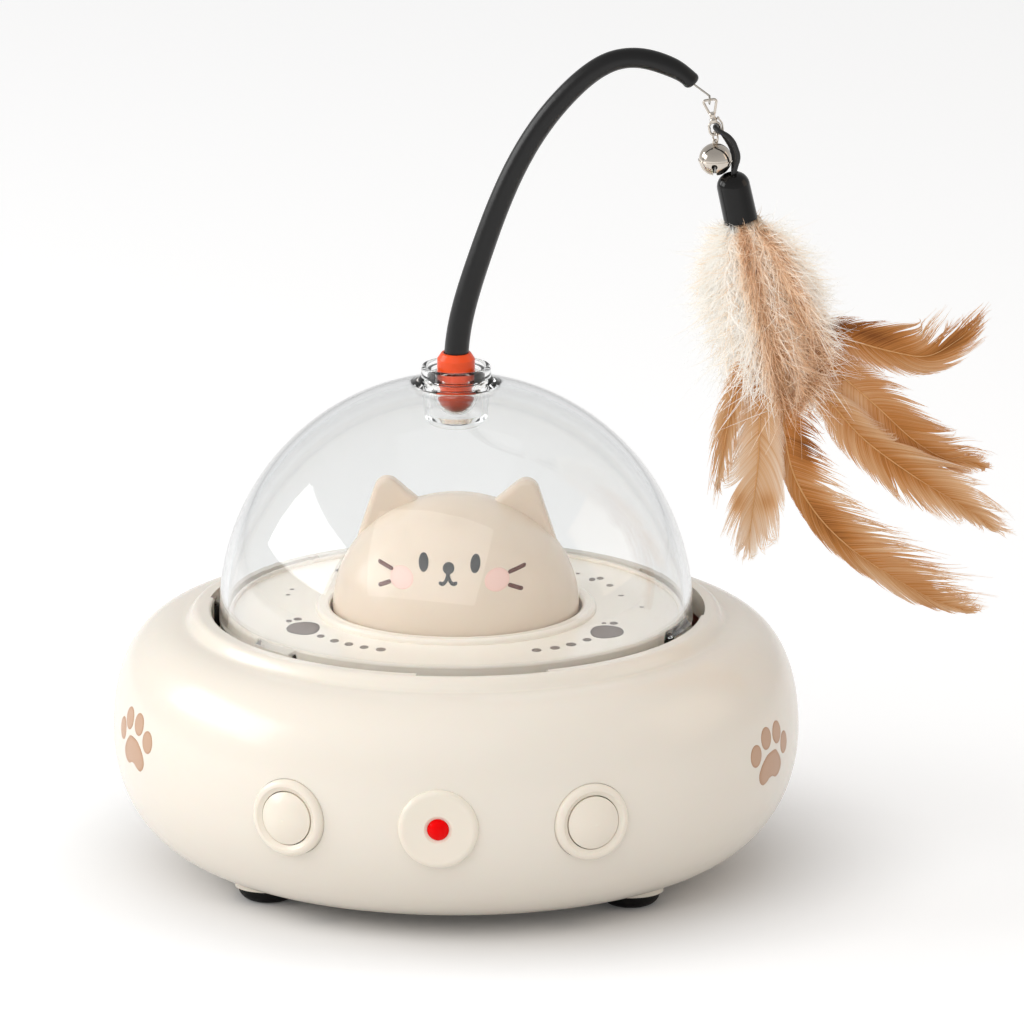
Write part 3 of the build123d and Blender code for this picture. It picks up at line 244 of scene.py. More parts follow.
def dress(material, *nodes):
    """Gives CAD nodes a material in all their slots."""
    for node in nodes:
        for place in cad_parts[node].material_slots:
            place.material = material


shell_abs = moulded_abs("abs_warm_white", shell_deep, shell_light, 0.24, 0.9, 0.004, 0.004, 0.2, 0.1)
dress(shell_abs, "base_shell", "bottom_cover")

# ---- housing: paw prints ----
# One pad-printed paw on each flank, at the height of the waist.
# The ink is a thin tan film on the skin, a shade stronger where it pools along its edge.
flank_ink = "#c7a184"
flank_ink_rim = "#bb8f6e"
ink_film = 0.045
ink_root = -0.12
waist_radius, waist_height = 85.0, 36.5


def bezier(points, count=160):
    """Cubic curve: the four points weighted by (1-t)^3, 3(1-t)^2 t, 3(1-t)t^2 and t^3."""
    t = np.linspace(0, 1, count)[:, None]
    a, b, c, d = np.array(points, float)
    return (1 - t)**3 * a + 3 * (1 - t)**2 * t * b + 3 * (1 - t) * t**2 * c + t**3 * d


def run_of(points):
    """How far along a line each of its points lies."""
    return np.concatenate([[0], np.cumsum(np.linalg.norm(np.diff(points, axis=0), axis=1))])


# The housing's outline as radius and height: from its flat foot to the waist, then to the collar.
shell_line = np.concatenate([
    bezier([(54.0, 3.5), (71.0, 3.5), (waist_radius, 16.0), (waist_radius, waist_height)]),
    bezier([(waist_radius, waist_height), (waist_radius, 51.0), (80.0, 62.8), (68.2, 63.2)])[1:],
])
shell_way = np.gradient(shell_line, axis=0)
shell_way /= np.linalg.norm(shell_way, axis=1)[:, None]
shell_arc = run_of(shell_line)
shell_arc -= np.interp(waist_height, shell_line[:, 1], shell_arc)


def on_shell(angle, arc, out):
    """A point on the housing: angle from the front, arc above the waist, distance out along the normal."""
    radius = np.interp(arc, shell_arc, shell_line[:, 0]) + out * np.interp(arc, shell_arc, shell_way[:, 1])
    height = np.interp(arc, shell_arc, shell_line[:, 1]) - out * np.interp(arc, shell_arc, shell_way[:, 0])
    return np.stack([radius * np.sin(angle), -radius * np.cos(angle), height], -1)


def skin(name, rings, material, smooth=True, loop=False, **attributes):
    """Closed surfaces from stacks of rings of points in millimetres: rings[piece, row, column].

    Neighbouring rows are joined by quads. Each end row is closed by a fan to its mean point, or
    with loop the last row is joined to the first. Attributes hold one number per ring point.
    """
    pieces, rows, columns = rings.shape[:3]
    first = np.arange(rows * columns).reshape(rows, columns)
    after = np.roll(first, -1, 1)
    if loop:
        above, above_after = np.roll(first, -1, 0), np.roll(after, -1, 0)
        points = rings.reshape(pieces, -1, 3)
        fans = np.zeros((0, 3), int)
    else:
        above, above_after = first[1:], after[1:]
        points = np.concatenate([rings.reshape(pieces, -1, 3), rings[:, [0, -1]].mean(2)], 1)
        foot = np.full(columns, rows * columns)
        fans = np.concatenate([
            np.stack([foot, after[0], first[0]], 1), np.stack([foot + 1, first[-1], after[-1]], 1),
        ])
    count = len(above)
    quads = np.stack([first[:count], after[:count], above_after, above], -1).reshape(-1, 4)
    step = np.arange(pieces)[:, None, None] * points.shape[1]
    quads = (quads[None] + step).reshape(-1, 4)
    fans = (fans[None] + step).reshape(-1, 3)
    corners = np.concatenate([quads.ravel(), fans.ravel()]).astype(np.int32)
    sizes = np.concatenate([np.full(len(quads), 4), np.full(len(fans), 3)]).astype(np.int32)
    mesh = bpy.data.meshes.new(name)
    mesh.vertices.add(points.shape[0] * points.shape[1])
    mesh.vertices.foreach_set("co", (points * MM).astype(np.float32).ravel())
    mesh.loops.add(len(corners))
    mesh.loops.foreach_set("vertex_index", corners)
    mesh.polygons.add(len(sizes))
    mesh.polygons.foreach_set("loop_start", np.concatenate([[0], np.cumsum(sizes)[:-1]]).astype(np.int32))
    mesh.update(calc_edges=True)
    mesh.polygons.foreach_set("use_smooth", np.full(len(sizes), smooth))
    for key, values in attributes.items():
        values = np.broadcast_to(values, rings.shape[:3])
        if not loop:
            values = np.concatenate([values.reshape(pieces, -1), values[:, [0, -1]].mean(2)], 1)
        layer = mesh.attributes.new(key, "FLOAT", "POINT")
        layer.data.foreach_set("value", np.ascontiguousarray(values, np.float32).ravel())
    mesh.materials.append(material)
    mesh.update()
    piece = bpy.data.objects.new(name, mesh)
    bpy.context.scene.collection.objects.link(piece)
    return piece


def blots(outlines, centres):
    """Films with closed outlines[piece, column, 2] about their centres.

    Gives x, y and out for each ring point, and how near it is to the rim: rings run from the
    middle of the underside to the rim, and back over the top to its middle.
    """
    share = np.array([0.06, 0.55, 1.0, 1.0, 0.975, 0.9, 0.78, 0.55, 0.3, 0.06])
    out = np.array([ink_root, ink_root, ink_root, ink_film * 0.6] + [ink_film] * 6)
    flat = outlines[:, None] * share[None, :, None, None] + np.asarray(centres)[:, None, None]
    out = np.broadcast_to(out[None, :, None], flat.shape[:3])
    rim = np.broadcast_to(np.clip((share - 0.75) / 0.25, 0, 1)[None, :, None], flat.shape[:3])
    return flat[..., 0], flat[..., 1], out, rim


def catmull(points, i, f):
    """Catmull-Rom: a cubic from point i+1 to i+2, with the slopes of their neighbours, at f from 0 to 1."""
    a, b, c, d = (points[(i + k) % len(points)] for k in range(4))
    return b + 0.5 * f * (c - a + f * (2 * a - 5 * b + 4 * c - d + f * (3 * (b - c) + d - a)))


def rounded(points, count=96):
    """A smooth closed line through points."""
    t = np.linspace(0, len(points), count, endpoint=False)
    i = t.astype(int)
    return catmull(np.array(points, float), i - 1, (t - i)[:, None])


def ovals(across, along, lean, count=96):
    """Ellipses from half widths and lengths, each leaning by an angle."""
    t = np.linspace(0, 2 * np.pi, count, endpoint=False)
    across, along, lean = (np.asarray(v, float)[:, None] for v in (across, along, lean))
    x, y = across * np.cos(t), along * np.sin(t)
    return np.stack([x * np.cos(lean) - y * np.sin(lean), x * np.sin(lean) + y * np.cos(lean)], -1)


def printed_ink(name, colour, rim_colour, roughness=0.38):
    """Ink whose colour deepens along its rim and is a little uneven over half a millimetre."""
    speckle_size, speckle_share = 1 / 1.8, 0.22
    material = plain_material(name, colour, roughness)
    near = add(material, "Attribute", attribute_name="rim")
    place = add(material, "TexCoord")
    speckle = cloud(material, place, speckle_size, 4.0)
    uneven = reckon(material, "MULTIPLY_ADD", speckle, speckle_share, near.outputs["Fac"])
    join(material, tone_ramp(material, uneven, (0.05, colour), (1.0, rim_colour)), "Base Color")
    grain(material, place, 0.5, 0.004)
    return material


toe_places = np.array([(-8.6, 4.64), (-3.9, 8.4), (2.85, 8.45), (8.85, 5.3)])
toe_ovals = ovals([2.55, 2.8, 2.85, 2.75], [2.85] * 4, [0.10, 0.06, -0.04, -0.08])
pad_outline = rounded([
    (-1.89, 4.45), (-3.74, 3.4), (-5.53, 1.54), (-6.32, -0.63), (-5.06, -2.44),
    (-2.97, -2.86), (-0.76, -2.12), (1.1, -2.2), (2.62, -2.87), (4.77, -3.19),
    (6.65, -2.01), (7.3, -0.19), (6.33, 1.7), (4.53, 3.19), (2.26, 4.25),
])
paw_films = np.concatenate([toe_ovals, pad_outline[None]])
paw_centres = np.concatenate([toe_places, [(0.0, 0.0)]])
flank_print = printed_ink("tan_pad_print", flank_ink, flank_ink_rim)
for name, turn, lift, side in (("left_paw_print", -67.7, 0.0, 1.0), ("right_paw_print", 70.3, -2.3, -1.0)):
    x, y, out, rim = blots(paw_films[:, ::int(side)] * (side, 1), paw_centres * (side, 1))
    rings = on_shell(math.radians(turn) + x / waist_radius, y + lift, out)
    paw = skin(name, rings, flank_print, rim=rim)
    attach(paw, "base")

# ---- feet and fasteners ----
# Four black rubber feet snap into the bottom cover, beside zinc-plated tapping screws.
# The rubber is dull with a moulded bloom, and the screws show the fine lay of their heading.


def rubber(name, colour, roughness, size, depth, **sockets):
    """Black rubber: a matt skin with a cloudy bloom and a fine pitted grain."""
    bloom_size, bloom_gloss = 6.0, 0.06
    material = plain_material(name, colour, roughness, **sockets)
    grain(material, mottle(material, colour, colour, bloom_size, roughness, bloom_gloss), size, depth)
    return material


def worked_metal(name, colour, roughness, size, depth):
    """Bare or plated metal: one colour, gloss that drifts, and a shallow fine texture."""
    drift, share = 3.0, 0.25
    material = plain_material(name, colour, roughness, Metallic=1.0)
    grain(material, mottle(material, colour, colour, drift, roughness, roughness * share), size, depth)
    return material


foot_rubber = rubber("black_foot_rubber", "#100f0f", 0.55, 0.35, 0.008, Specular_IOR_Level=0.2)
zinc = worked_metal("zinc_plate", "#b9b9b6", 0.3, 0.25, 0.003)
dress(foot_rubber, "rubber_feet")
dress(zinc, "cover_screws", "plate_screws", "motor_screws", "head_screws")

# ---- front controls: bezels, button caps, sensor pad and lens ----
# The bezels and the pad are moulded in the shell's own plastic, and the caps slide in the bezels.
# The lens is a polished red window over the laser.
control_abs = moulded_abs("abs_controls", "#efe4d3", "#f2e8d9", 0.27, 0.8, 0.003, 0.003, 0.2, 0.1)
dress(control_abs, "left_bezel", "right_bezel", "left_button", "right_button", "sensor_pad")
lens_red = plain_material("red_lens", "#f00204", 0.06, Specular_IOR_Level=0.08)
mottle(lens_red, "#e60205", "#fa0406", 2.0, 0.07, 0.02)
dress(lens_red, "red_lens")
barrel_brass = worked_metal("turned_brass", "#c79f55", 0.28, 0.12, 0.004)
dress(barrel_brass, "laser_module")

# ---- inside the housing: drive, motor, battery and boards ----
# Natural acetal gears turn on steel pins under the deck, and the motor hangs from the drive plate.
# None of it is bright: the plastic is as moulded, the can is drawn steel and the boards are green.
acetal = moulded("natural_acetal", "#e4e2d8", "#ecebe2", 0.42, 0.5, 0.006)
tray_abs = moulded("inner_abs", "#cfcdc6", "#d9d7d0", 0.5, 0.7, 0.01)
motor_can = worked_metal("drawn_motor_can", "#a9a8a5", 0.34, 0.2, 0.004)
cell_sleeve = moulded("shrink_sleeve", "#2f6fb0", "#3478b8", 0.35, 1.2, 0.02)
solder_mask = moulded("green_solder_mask", "#0f4a2a", "#14542f", 0.3, 0.6, 0.01)
switch_nylon = moulded("black_switch_nylon", "#1d1d1d", "#242424", 0.5, 0.3, 0.006)
port_steel = worked_metal("stamped_port_steel", "#bcbcba", 0.26, 0.3, 0.003)
dress(acetal, "ring_gear", "reduction_gear", "motor_pinion", "thrust_washer")
dress(tray_abs, "drive_plate", "battery_cradle")
dress(motor_can, "gear_motor", "gear_axle", "roller_pins", "bell_pellet")
dress(cell_sleeve, "battery_cell")
dress(solder_mask, "main_board", "port_board", "switch_boards")
dress(switch_nylon, "tact_switches")
dress(port_steel, "charge_port")

# ---- guide rollers ----
# Four small black nylon rollers stand in pockets of the rim and steady the turntable's skirt.
# They are glossy where they run, on steel pins.
roller_nylon = moulded("black_roller_nylon", "#1a1918", "#232120", 0.25, 0.4, 0.003, Coat_Weight=0.4)
dress(roller_nylon, "guide_roller_left", "guide_roller_rear", "guide_roller_right", "guide_roller_front")

# ---- turntable ----
# The deck that carries the dome is one ABS moulding, a shade whiter than the housing.
# Its top is smoother than the shell, so the head mirrors faintly in it.
deck_abs = moulded_abs("abs_deck", "#efe4d5", "#f1e7d9", 0.24, 1.1, 0.003, 0.004, 0.25, 0.08)
dress(deck_abs, "turntable")

# ---- turntable: printed trail of paws ----
# A grey-brown pad print on the deck: a cat's paw on each side, dots that lead from it to the front,
# and small broken marks round the back.
deck_height = 66.4
trail_ink = "#6f5f55"
trail_ink_rim = "#60524a"


def on_deck(x, y, out):
    """A point on the deck's flat top, out being upwards."""
    return np.stack([x, y, deck_height + out], -1)


trail_print = printed_ink("grey_pad_print", trail_ink, trail_ink_rim)
pad_shape = rounded([
    (-4.0, 0.4), (-2.6, 4.1), (0.4, 5.5), (3.1, 4.1), (4.1, 0.0),
    (3.3, -4.6), (1.0, -6.4), (-1.6, -5.5), (-3.5, -3.4),
])[::-1]
# Dots, toes and broken marks as x, y and half widths across and along, and the two pads' places.
trail_dots = np.array([
    (-31.9, -27.5, 0.95, 1.45), (-28.3, -31.6, 1.10, 1.60), (-24.6, -34.5, 1.10, 1.60),
    (-20.7, -37.1, 1.10, 1.60), (-16.5, -39.0, 1.25, 1.70), (33.7, -27.4, 1.10, 1.50),
    (30.0, -31.9, 1.30, 1.65), (26.2, -35.2, 1.20, 1.65), (21.8, -37.6, 1.20, 1.65),
    (-40.6, -14.1, 0.74, 1.15), (-38.6, -12.2, 0.99, 1.30), (39.6, -11.9, 1.03, 1.30),
    (37.2, -12.0, 0.60, 0.80), (-41.9, 15.5, 0.60, 0.50), (-42.5, 10.2, 0.60, 0.50),
    (-31.4, 33.9, 0.75, 1.20), (28.8, 34.0, 0.50, 0.60), (32.6, 28.6, 0.80, 1.60),
    (34.6, 29.8, 0.90, 1.30), (37.3, 23.3, 0.90, 1.20), (40.5, 13.9, 0.80, 0.60),
    (46.0, 3.4, 0.60, 0.50),
])
trail_pads = [(-36.7, -20.2), (38.3, -19.5)]
trail_ovals = ovals(trail_dots[:, 2], trail_dots[:, 3], np.zeros(len(trail_dots)))
trail_films = np.concatenate([trail_ovals, [pad_shape, (pad_shape * (-1, 1))[::-1]]])
x, y, out, rim = blots(trail_films, np.concatenate([trail_dots[:, :2], trail_pads]))
trail = skin("deck_paw_trail", on_deck(x, y, out), trail_print, rim=rim)
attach(trail, "turntable")

# ---- dome ----
# A clear moulded styrene hemisphere on a short upright skirt, snapped on the deck by three lugs.
# It is polished inside and out, and open at the crown for the wand's socket.
dome_radius = 58.8
dome_wall = 2.1
dome_foot = 63.4
edge_round = 0.25
crown_flat = 11.3
crown_hole = 8.75
crown_gap = 0.05
lug_reach = 1.3
lug_low, lug_high = 64.4, 66.9
lug_start, lug_span, lug_ease = -25.0, 16.0, 1.5
arc_rows, dome_columns = 90, 320


def arc_line(radius, start, end):
    """A circle's arc about the deck's centre as radius and height, between two reaches from the axis."""
    turn = np.linspace(np.arccos(start / radius), np.arccos(end / radius), arc_rows)
    return np.stack([radius * np.cos(turn), deck_height + radius * np.sin(turn)], 1)


def clear_plastic(name, tint, shade, ior=1.49, wall_tint="#d8dadc", density=40.0):
    """Polished clear plastic: a shade of the light gets by for shadows, a faint haze drifts in its gloss,
    and a long way through the wall greys the light."""
    haze_size, haze = 25.0, 0.02
    material = plain_material(name, tint, 0.01, IOR=ior, Transmission_Weight=1.0)
    shader = material.node_tree.nodes["Principled BSDF"]
    patches = cloud(material, add(material, "TexCoord"), haze_size, 1.0)
    join(material, carried(material, patches, 0.0, 1.0, 0.0, haze), "Roughness")
    clear = add(material, "BsdfTransparent", {"Color": linear(shade)})
    shadow = on_rays(material, "Shadow")
    mix = add(material, "MixShader", {0: shadow, 1: shader.outputs[0], 2: clear.outputs[0]})
    join(material, mix.outputs[0], "Surface", "Material Output")
    depth = add(material, "VolumeAbsorption", {"Color": linear(wall_tint), "Density": density})
    join(material, depth.outputs[0], "Volume", "Material Output")
    return material


dome_inner = dome_radius - dome_wall
outer_arc = arc_line(dome_radius, dome_radius, crown_flat)
inner_arc = arc_line(dome_inner, crown_hole, dome_inner)
crown_top = outer_arc[-1, 1]
crown_low = crown_top - crown_gap
skirt_rows = np.array([64.0, 64.35, 64.4, 65.0, 66.0])
dome_line = np.concatenate([
    [(dome_inner + edge_round, dome_foot), (dome_radius - edge_round, dome_foot)],
    [(dome_radius, dome_foot + edge_round)],
    np.stack([np.full(len(skirt_rows), dome_radius), skirt_rows], 1),
    outer_arc[:-1],
    [(crown_flat + 0.2, crown_low - 0.03), (crown_flat - 0.3, crown_low), (crown_hole + 0.2, crown_low)],
    [(crown_hole, crown_low - 0.2), (crown_hole, inner_arc[0, 1] + 0.15)],
    inner_arc[1:],
    [(dome_inner, skirt_rows[3]), (dome_inner, dome_foot + edge_round)],
])
lug_corners = np.array([0.0, lug_ease, lug_span - lug_ease, lug_span])
lug_edges = lug_start + 120.0 * np.arange(3)[:, None] + lug_corners
dome_turns = np.concatenate([
    np.linspace(0, 2 * np.pi, dome_columns, endpoint=False), np.radians(lug_edges).ravel() % (2 * np.pi),
])
dome_turns = np.unique(np.round(dome_turns, 5))
within = (np.degrees(dome_turns)[None, :] - lug_start) % 120.0
on_lug = (dome_line[:, 1, None] >= lug_low - 1e-6) & (dome_line[:, 1, None] <= lug_high)
on_lug &= dome_line[:, 0, None] > dome_radius - 0.1
lug_rise = np.clip(np.minimum(within, lug_span - within) / lug_ease, 0, 1)
dome_reach = dome_line[:, 0, None] + lug_reach * on_lug * lug_rise
rings = np.stack([
    dome_reach * np.cos(dome_turns), dome_reach * np.sin(dome_turns),
    np.broadcast_to(dome_line[:, 1, None], dome_reach.shape),
], -1)
dome_clear = clear_plastic("clear_styrene", "#f8f9f9", "#eeeff0")
dome = skin("clear_dome", rings[None], dome_clear, loop=True)
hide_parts("dome")
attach(dome, "turntable")

# ---- wand socket ----
# A clear cup stands through the crown, with a clear pocket in it for the plug.
# A ring in its mouth grips the plug's neck: clear too, with a black rubber pad on its left and right.
cup_look = ("#fefefe", "#fcfcfc", 1.25)
cup_density = 5.0
pad_from, pad_back = 4.6 * MM, 0.5 * MM
cup_clear = clear_plastic("clear_cup", *cup_look, density=cup_density)
dress(cup_clear, "wand_socket", "socket_liner")
grip_pads = clear_plastic("grip_ring", *cup_look, density=cup_density)
grip_clear = grip_pads.node_tree.nodes["Material Output"].inputs["Surface"].links[0].from_socket
pad_place = add(grip_pads, "TexCoord")
pad_way = add(grip_pads, "SeparateXYZ", {0: pad_place.outputs["Object"]})
pad_side = reckon(grip_pads, "GREATER_THAN", reckon(grip_pads, "ABSOLUTE", pad_way.outputs["X"]), pad_from)
pad_front = reckon(grip_pads, "LESS_THAN", pad_way.outputs["Y"], pad_back)
pad_here = reckon(grip_pads, "MULTIPLY", pad_side, pad_front)
pad_black = add(grip_pads, "BsdfPrincipled", {"Base Color": linear("#0d0c0c"), "Roughness": 0.4})
pad_mix = add(grip_pads, "MixShader", {0: pad_here, 1: grip_clear, 2: pad_black.outputs[0]})
join(grip_pads, pad_mix.outputs[0], "Surface", "Material Output")
dress(grip_pads, "socket_ring")

# ---- cat's head ----
# A half egg of ABS with two ears, fixed over the still neck. Its plastic is tanner than the shell's.
# It is polished like the deck, and its face is pad printed.
head_abs = moulded_abs("abs_head", "#e0cdb8", "#e4d2be", 0.27, 1.0, 0.003, 0.003, 0.1, 0.1)
dress(head_abs, "cat_head")

# ---- cat's head: printed face ----
# Two upright oval eyes, a round nose, a mouth of two small arcs, and two whiskers a side in brown.
# Black and brown inks lie over soft pink cheeks.
head_radius, head_rise, head_base = 30.5, 27.5, 67.8
face_black = "#1b1817"
whisker_brown = "#54291d"
cheek_pink = "#f3cdc0"
film_step = 0.03
mouth_half, whisker_half = 0.42, 0.46
mouth_root = [(-0.65, 83.0), (-0.60, 80.6)]


def on_head(x, z, out):
    """The head seen square on: x across and z up go back to the half egg, then out along its normal."""
    z = z - head_base
    y = -np.sqrt(np.maximum(head_radius**2 * (1 - (z / head_rise)**2) - x**2, 0))
    point = np.stack([x, y, z], -1)
    normal = point / np.array([head_radius**2, head_radius**2, head_rise**2])
    normal /= np.linalg.norm(normal, axis=-1, keepdims=True)
    return point + normal * out[..., None] + (0, 0, head_base)


def strokes(paths, width):
    """Round-ended bars of ink along paths[piece, row, 2].

    Gives x, y and out: each station's cross-section is a flat six-sided lozenge, and its half width
    follows a circle at both ends.
    """
    paths = np.asarray(paths, float)
    steps = np.linalg.norm(np.diff(paths, axis=1), axis=2)
    run = np.concatenate([np.zeros((len(paths), 1)), np.cumsum(steps, 1)], 1)
    short = np.minimum(np.minimum(run, run[:, -1:] - run) / width, 1.0)
    half = width * np.sqrt(np.maximum(1 - (1 - short)**2, 0.02))
    way = np.gradient(paths, axis=1)
    way /= np.linalg.norm(way, axis=2)[..., None]
    side = np.stack([-way[..., 1], way[..., 0]], -1)
    across = np.array([-1.0, -1.0, -0.8, 0.8, 1.0, 1.0])
    out = np.array([ink_root, ink_film * 0.5, ink_film, ink_film, ink_film * 0.5, ink_root])
    flat = paths[:, :, None] + side[:, :, None] * (half[..., None] * across)[..., None]
    return flat[..., 0], flat[..., 1], np.broadcast_to(out, flat.shape[:3])


def eased(start, end, count=18):
    """Stations between two points, closer together at both ends: a half cosine."""
    t = (1 - np.cos(np.linspace(0, np.pi, count))) / 2
    return np.asarray(start)[..., None, :] * (1 - t)[:, None] + np.asarray(end)[..., None, :] * t[:, None]


cheek_ink = printed_ink("pink_cheek_print", cheek_pink, "#f1c6b8", 0.32)
black_ink = printed_ink("black_face_print", "#221f1e", face_black, 0.3)
brown_ink = printed_ink("brown_whisker_print", "#6b3626", whisker_brown, 0.3)
x, z, out, rim = blots(ovals([2.95, 3.0], [2.55, 2.6], [0.0, 0.0]), [(-12.2, 80.7), (11.4, 80.6)])
cheeks = skin("cheek_prints", on_head(x, z, out - (out > 0) * film_step / 2), cheek_ink, rim=rim)
x, z, out, rim = blots(ovals([1.22, 1.22, 1.42], [2.0, 2.0, 1.3], [0.04, -0.04, 0.0]),
                       [(-6.8, 84.5), (6.0, 84.4), (-0.55, 83.5)])
eyes = skin("eye_and_nose_prints", on_head(x, z, out + (out > 0) * film_step), black_ink, rim=rim)
mouth_left = bezier(mouth_root + [(-1.9, 79.3), (-2.75, 80.55)], 26)
mouth_right = bezier(mouth_root + [(0.8, 79.3), (1.6, 80.6)], 26)
x, z, out = strokes([mouth_left, mouth_right], mouth_half)
mouth = skin("mouth_print", on_head(x, z, out + (out > 0) * film_step), black_ink, rim=0.5)
whisker_ends = np.array([
    [(-18.3, 83.2), (-14.4, 82.2)], [(-18.0, 78.1), (-14.9, 79.6)],
    [(14.0, 81.9), (18.2, 82.9)], [(14.1, 79.3), (17.7, 77.8)],
])
x, z, out = strokes(eased(whisker_ends[:, 0], whisker_ends[:, 1]), whisker_half)
whiskers = skin("whisker_prints", on_head(x, z, out + (out > 0) * film_step), brown_ink, rim=0.5)
for mark in (cheeks, eyes, mouth, whiskers):
    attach(mark, "base")

# ---- wand: plug, hose and tip wire ----
# A turned orange plug drops into the socket, and a black rubber hose is pushed into its bore.
# The hose thins to a rounded end, from which a bare steel wire comes out and closes in an eye.
plug_orange = moulded("orange_plug", "#f0470e", "#f65414", 0.3, 0.5, 0.004)
hose_rubber = rubber("black_wand_hose", "#0e0d0d", 0.33, 0.5, 0.004, Specular_IOR_Level=0.4)
bare_wire = worked_metal("bare_spring_wire", "#b7b2aa", 0.22, 0.1, 0.002)
dress(plug_orange, "wand_plug")
dress(hose_rubber, "wand_hose")
dress(bare_wire, "tip_wire")

# ---- clasp and bell ----
# A small cast swivel clasp and a pressed jingle bell, both bright nickel.
# The plating is nearly a mirror, a little yellow, with the faint ripple of the polishing wheel.
nickel = worked_metal("bright_nickel", "#cfc6bb", 0.09, 1.5, 0.006)
dress(nickel, "clasp_body", "clasp_gate", "bell_ring", "bell_upper", "bell_lower")

# ---- lure: cord and cap ----
# A loop of black rubber cord is moulded into a glossy black cap that grips the feathers' quills.
cord_rubber = rubber("black_cord_rubber", "#191818", 0.4, 0.3, 0.004)
cap_black = moulded("black_cap", "#0e0d0d", "#121110", 0.14, 0.6, 0.003, Specular_IOR_Level=0.3)
dress(cord_rubber, "cord_loop")
dress(cap_black, "feather_cap")

# ---- lure: down ----
# A fistful of cut marabou: soft stems gripped in the cap, each with side barbs that stand off it.
# Its tones run from cream to tan, with painted light and shade: paler on its lit left side, browner at its
# heart, right of its axis and low down.
down_axis = np.array([
    (70.5, 167.5), (71.9, 160.5), (74.2, 150.0), (76.8, 140.0), (79.0, 131.5), (80.6, 124.5), (81.4, 119.5),
])
down_across = np.array([5.0, 11.5, 14.0, 15.6, 15.8, 11.0, 5.0])
down_deep = np.array([3.4, 6.8, 9.4, 10.2, 9.0, 6.0, 3.2])
down_lean = (0.98, 0.2)
down_run = run_of(down_axis) / run_of(down_axis)[-1]
chance = np.random.default_rng(11)


def down_place(share, turn, reach):
    """A point in the clump: share down its axis, turn about it from the right, and reach, 1 at its skin."""
    x = np.interp(share, down_run, down_axis[:, 0])
    z = np.interp(share, down_run, down_axis[:, 1])
    across = np.interp(share, down_run, down_across) * reach * np.cos(turn)
    deep = np.interp(share, down_run, down_deep) * reach * np.sin(turn)
    return np.stack([x + across * down_lean[0], deep, z + across * down_lean[1]], -1)


def needles(lines, widths, flatness=0.6, facing=(0.0, -1.0, 0.0)):
    """Three-sided tapering fibres along lines[fibre, row, 3], as rings for skin().

    Each row's triangle spans the fibre's width across its run, and rises toward the facing side.
    """
    way = np.gradient(lines, axis=1)
    way /= np.linalg.norm(way, axis=-1, keepdims=True) + 1e-9
    across = np.cross(way, np.asarray(facing, float))
    across /= np.linalg.norm(across, axis=-1, keepdims=True) + 1e-6
    rise = np.cross(across, way)
    half = widths[..., None] / 2
    low = half * flatness * rise * 0.5
    corners = [-half * across - low, half * across - low, half * flatness * rise]
    return lines[:, :, None] + np.stack(corners, 2)


def soft_fibre(name, tones, rough, thin, gaps):
    """Feather keratin: the tone attribute picks its colour, a share of the light passes through it, and
    a share gets by it between the barbules."""
    material = plain_material(name, tones[0][1], rough, Sheen_Weight=0.15, Sheen_Roughness=0.5,
                              Specular_IOR_Level=0.3)
    tone_at = add(material, "Attribute", attribute_name="tone")
    tone = tone_ramp(material, tone_at.outputs["Fac"], *tones)
    join(material, tone, "Base Color")
    solid = material.node_tree.nodes["Principled BSDF"]
    through = add(material, "BsdfTranslucent", {"Color": tone})
    mix = add(material, "MixShader", {0: thin, 1: solid.outputs[0], 2: through.outputs[0]})
    by = reckon(material, "MULTIPLY", on_rays(material, "Shadow"), gaps)
    clear = add(material, "BsdfTransparent")
    mix = add(material, "MixShader", {0: by, 1: mix.outputs[0], 2: clear.outputs[0]})
    join(material, mix.outputs[0], "Surface", "Material Output")
    return material


down_tones = [(0.0, "#86603f"), (0.3, "#c79a70"), (0.55, "#efd2b0"), (0.8, "#fff4e6"), (1.0, "#fffefb")]
down_fibre = soft_fibre("marabou_down", down_tones, 0.8, 0.4, 0.72)


def down_tone_and_shade(points):
    """Tone by place, with painted light and shade: cream on the lit left and at the edges, tan in painted
    shade along two streaks right of the axis, and darker low down away from the left edge.
    """
    x = points[..., 0] - np.interp(-points[..., 2], -down_axis[:, 1], down_axis[:, 0])
    side = x / np.interp(-points[..., 2], -down_axis[:, 1], down_across)
    # Painted shade: two tan streaks right of the axis, and a darkening below 140 mm, lower the tone.
    shade_streak = np.exp(-((side - 0.10) / 0.26)**2) + 0.9 * np.exp(-((side - 0.72) / 0.26)**2)
    low = np.clip((140.0 - points[..., 2]) / 30.0, 0, 1)
    return 0.98 - 0.50 * shade_streak - 0.22 * low * (side > -0.4)


# The clump's felted heart, which closes it to light: its skin, drawn in and lumpy.
heart_share = np.linspace(0.03, 0.93, 40)[:, None]
heart_turn = np.linspace(0, 2 * np.pi, 64, endpoint=False)[None]
lumps = 0.50 + 0.06 * np.sin(5 * heart_turn + 21 * heart_share)
lumps = lumps + 0.05 * np.sin(3 * heart_turn - 34 * heart_share)
heart = down_place(heart_share, heart_turn, lumps)[None]
# The heart is painted 0.05 darker than the clump around it, as painted shade deep in the clump.
heart_shaded_tone = down_tone_and_shade(heart) - 0.05 + 0.06 * np.sin(9 * heart_turn + 40 * heart_share)[None]
down_heart = skin("down_heart", heart[:, ::-1], down_fibre, tone=heart_shaded_tone[:, ::-1])

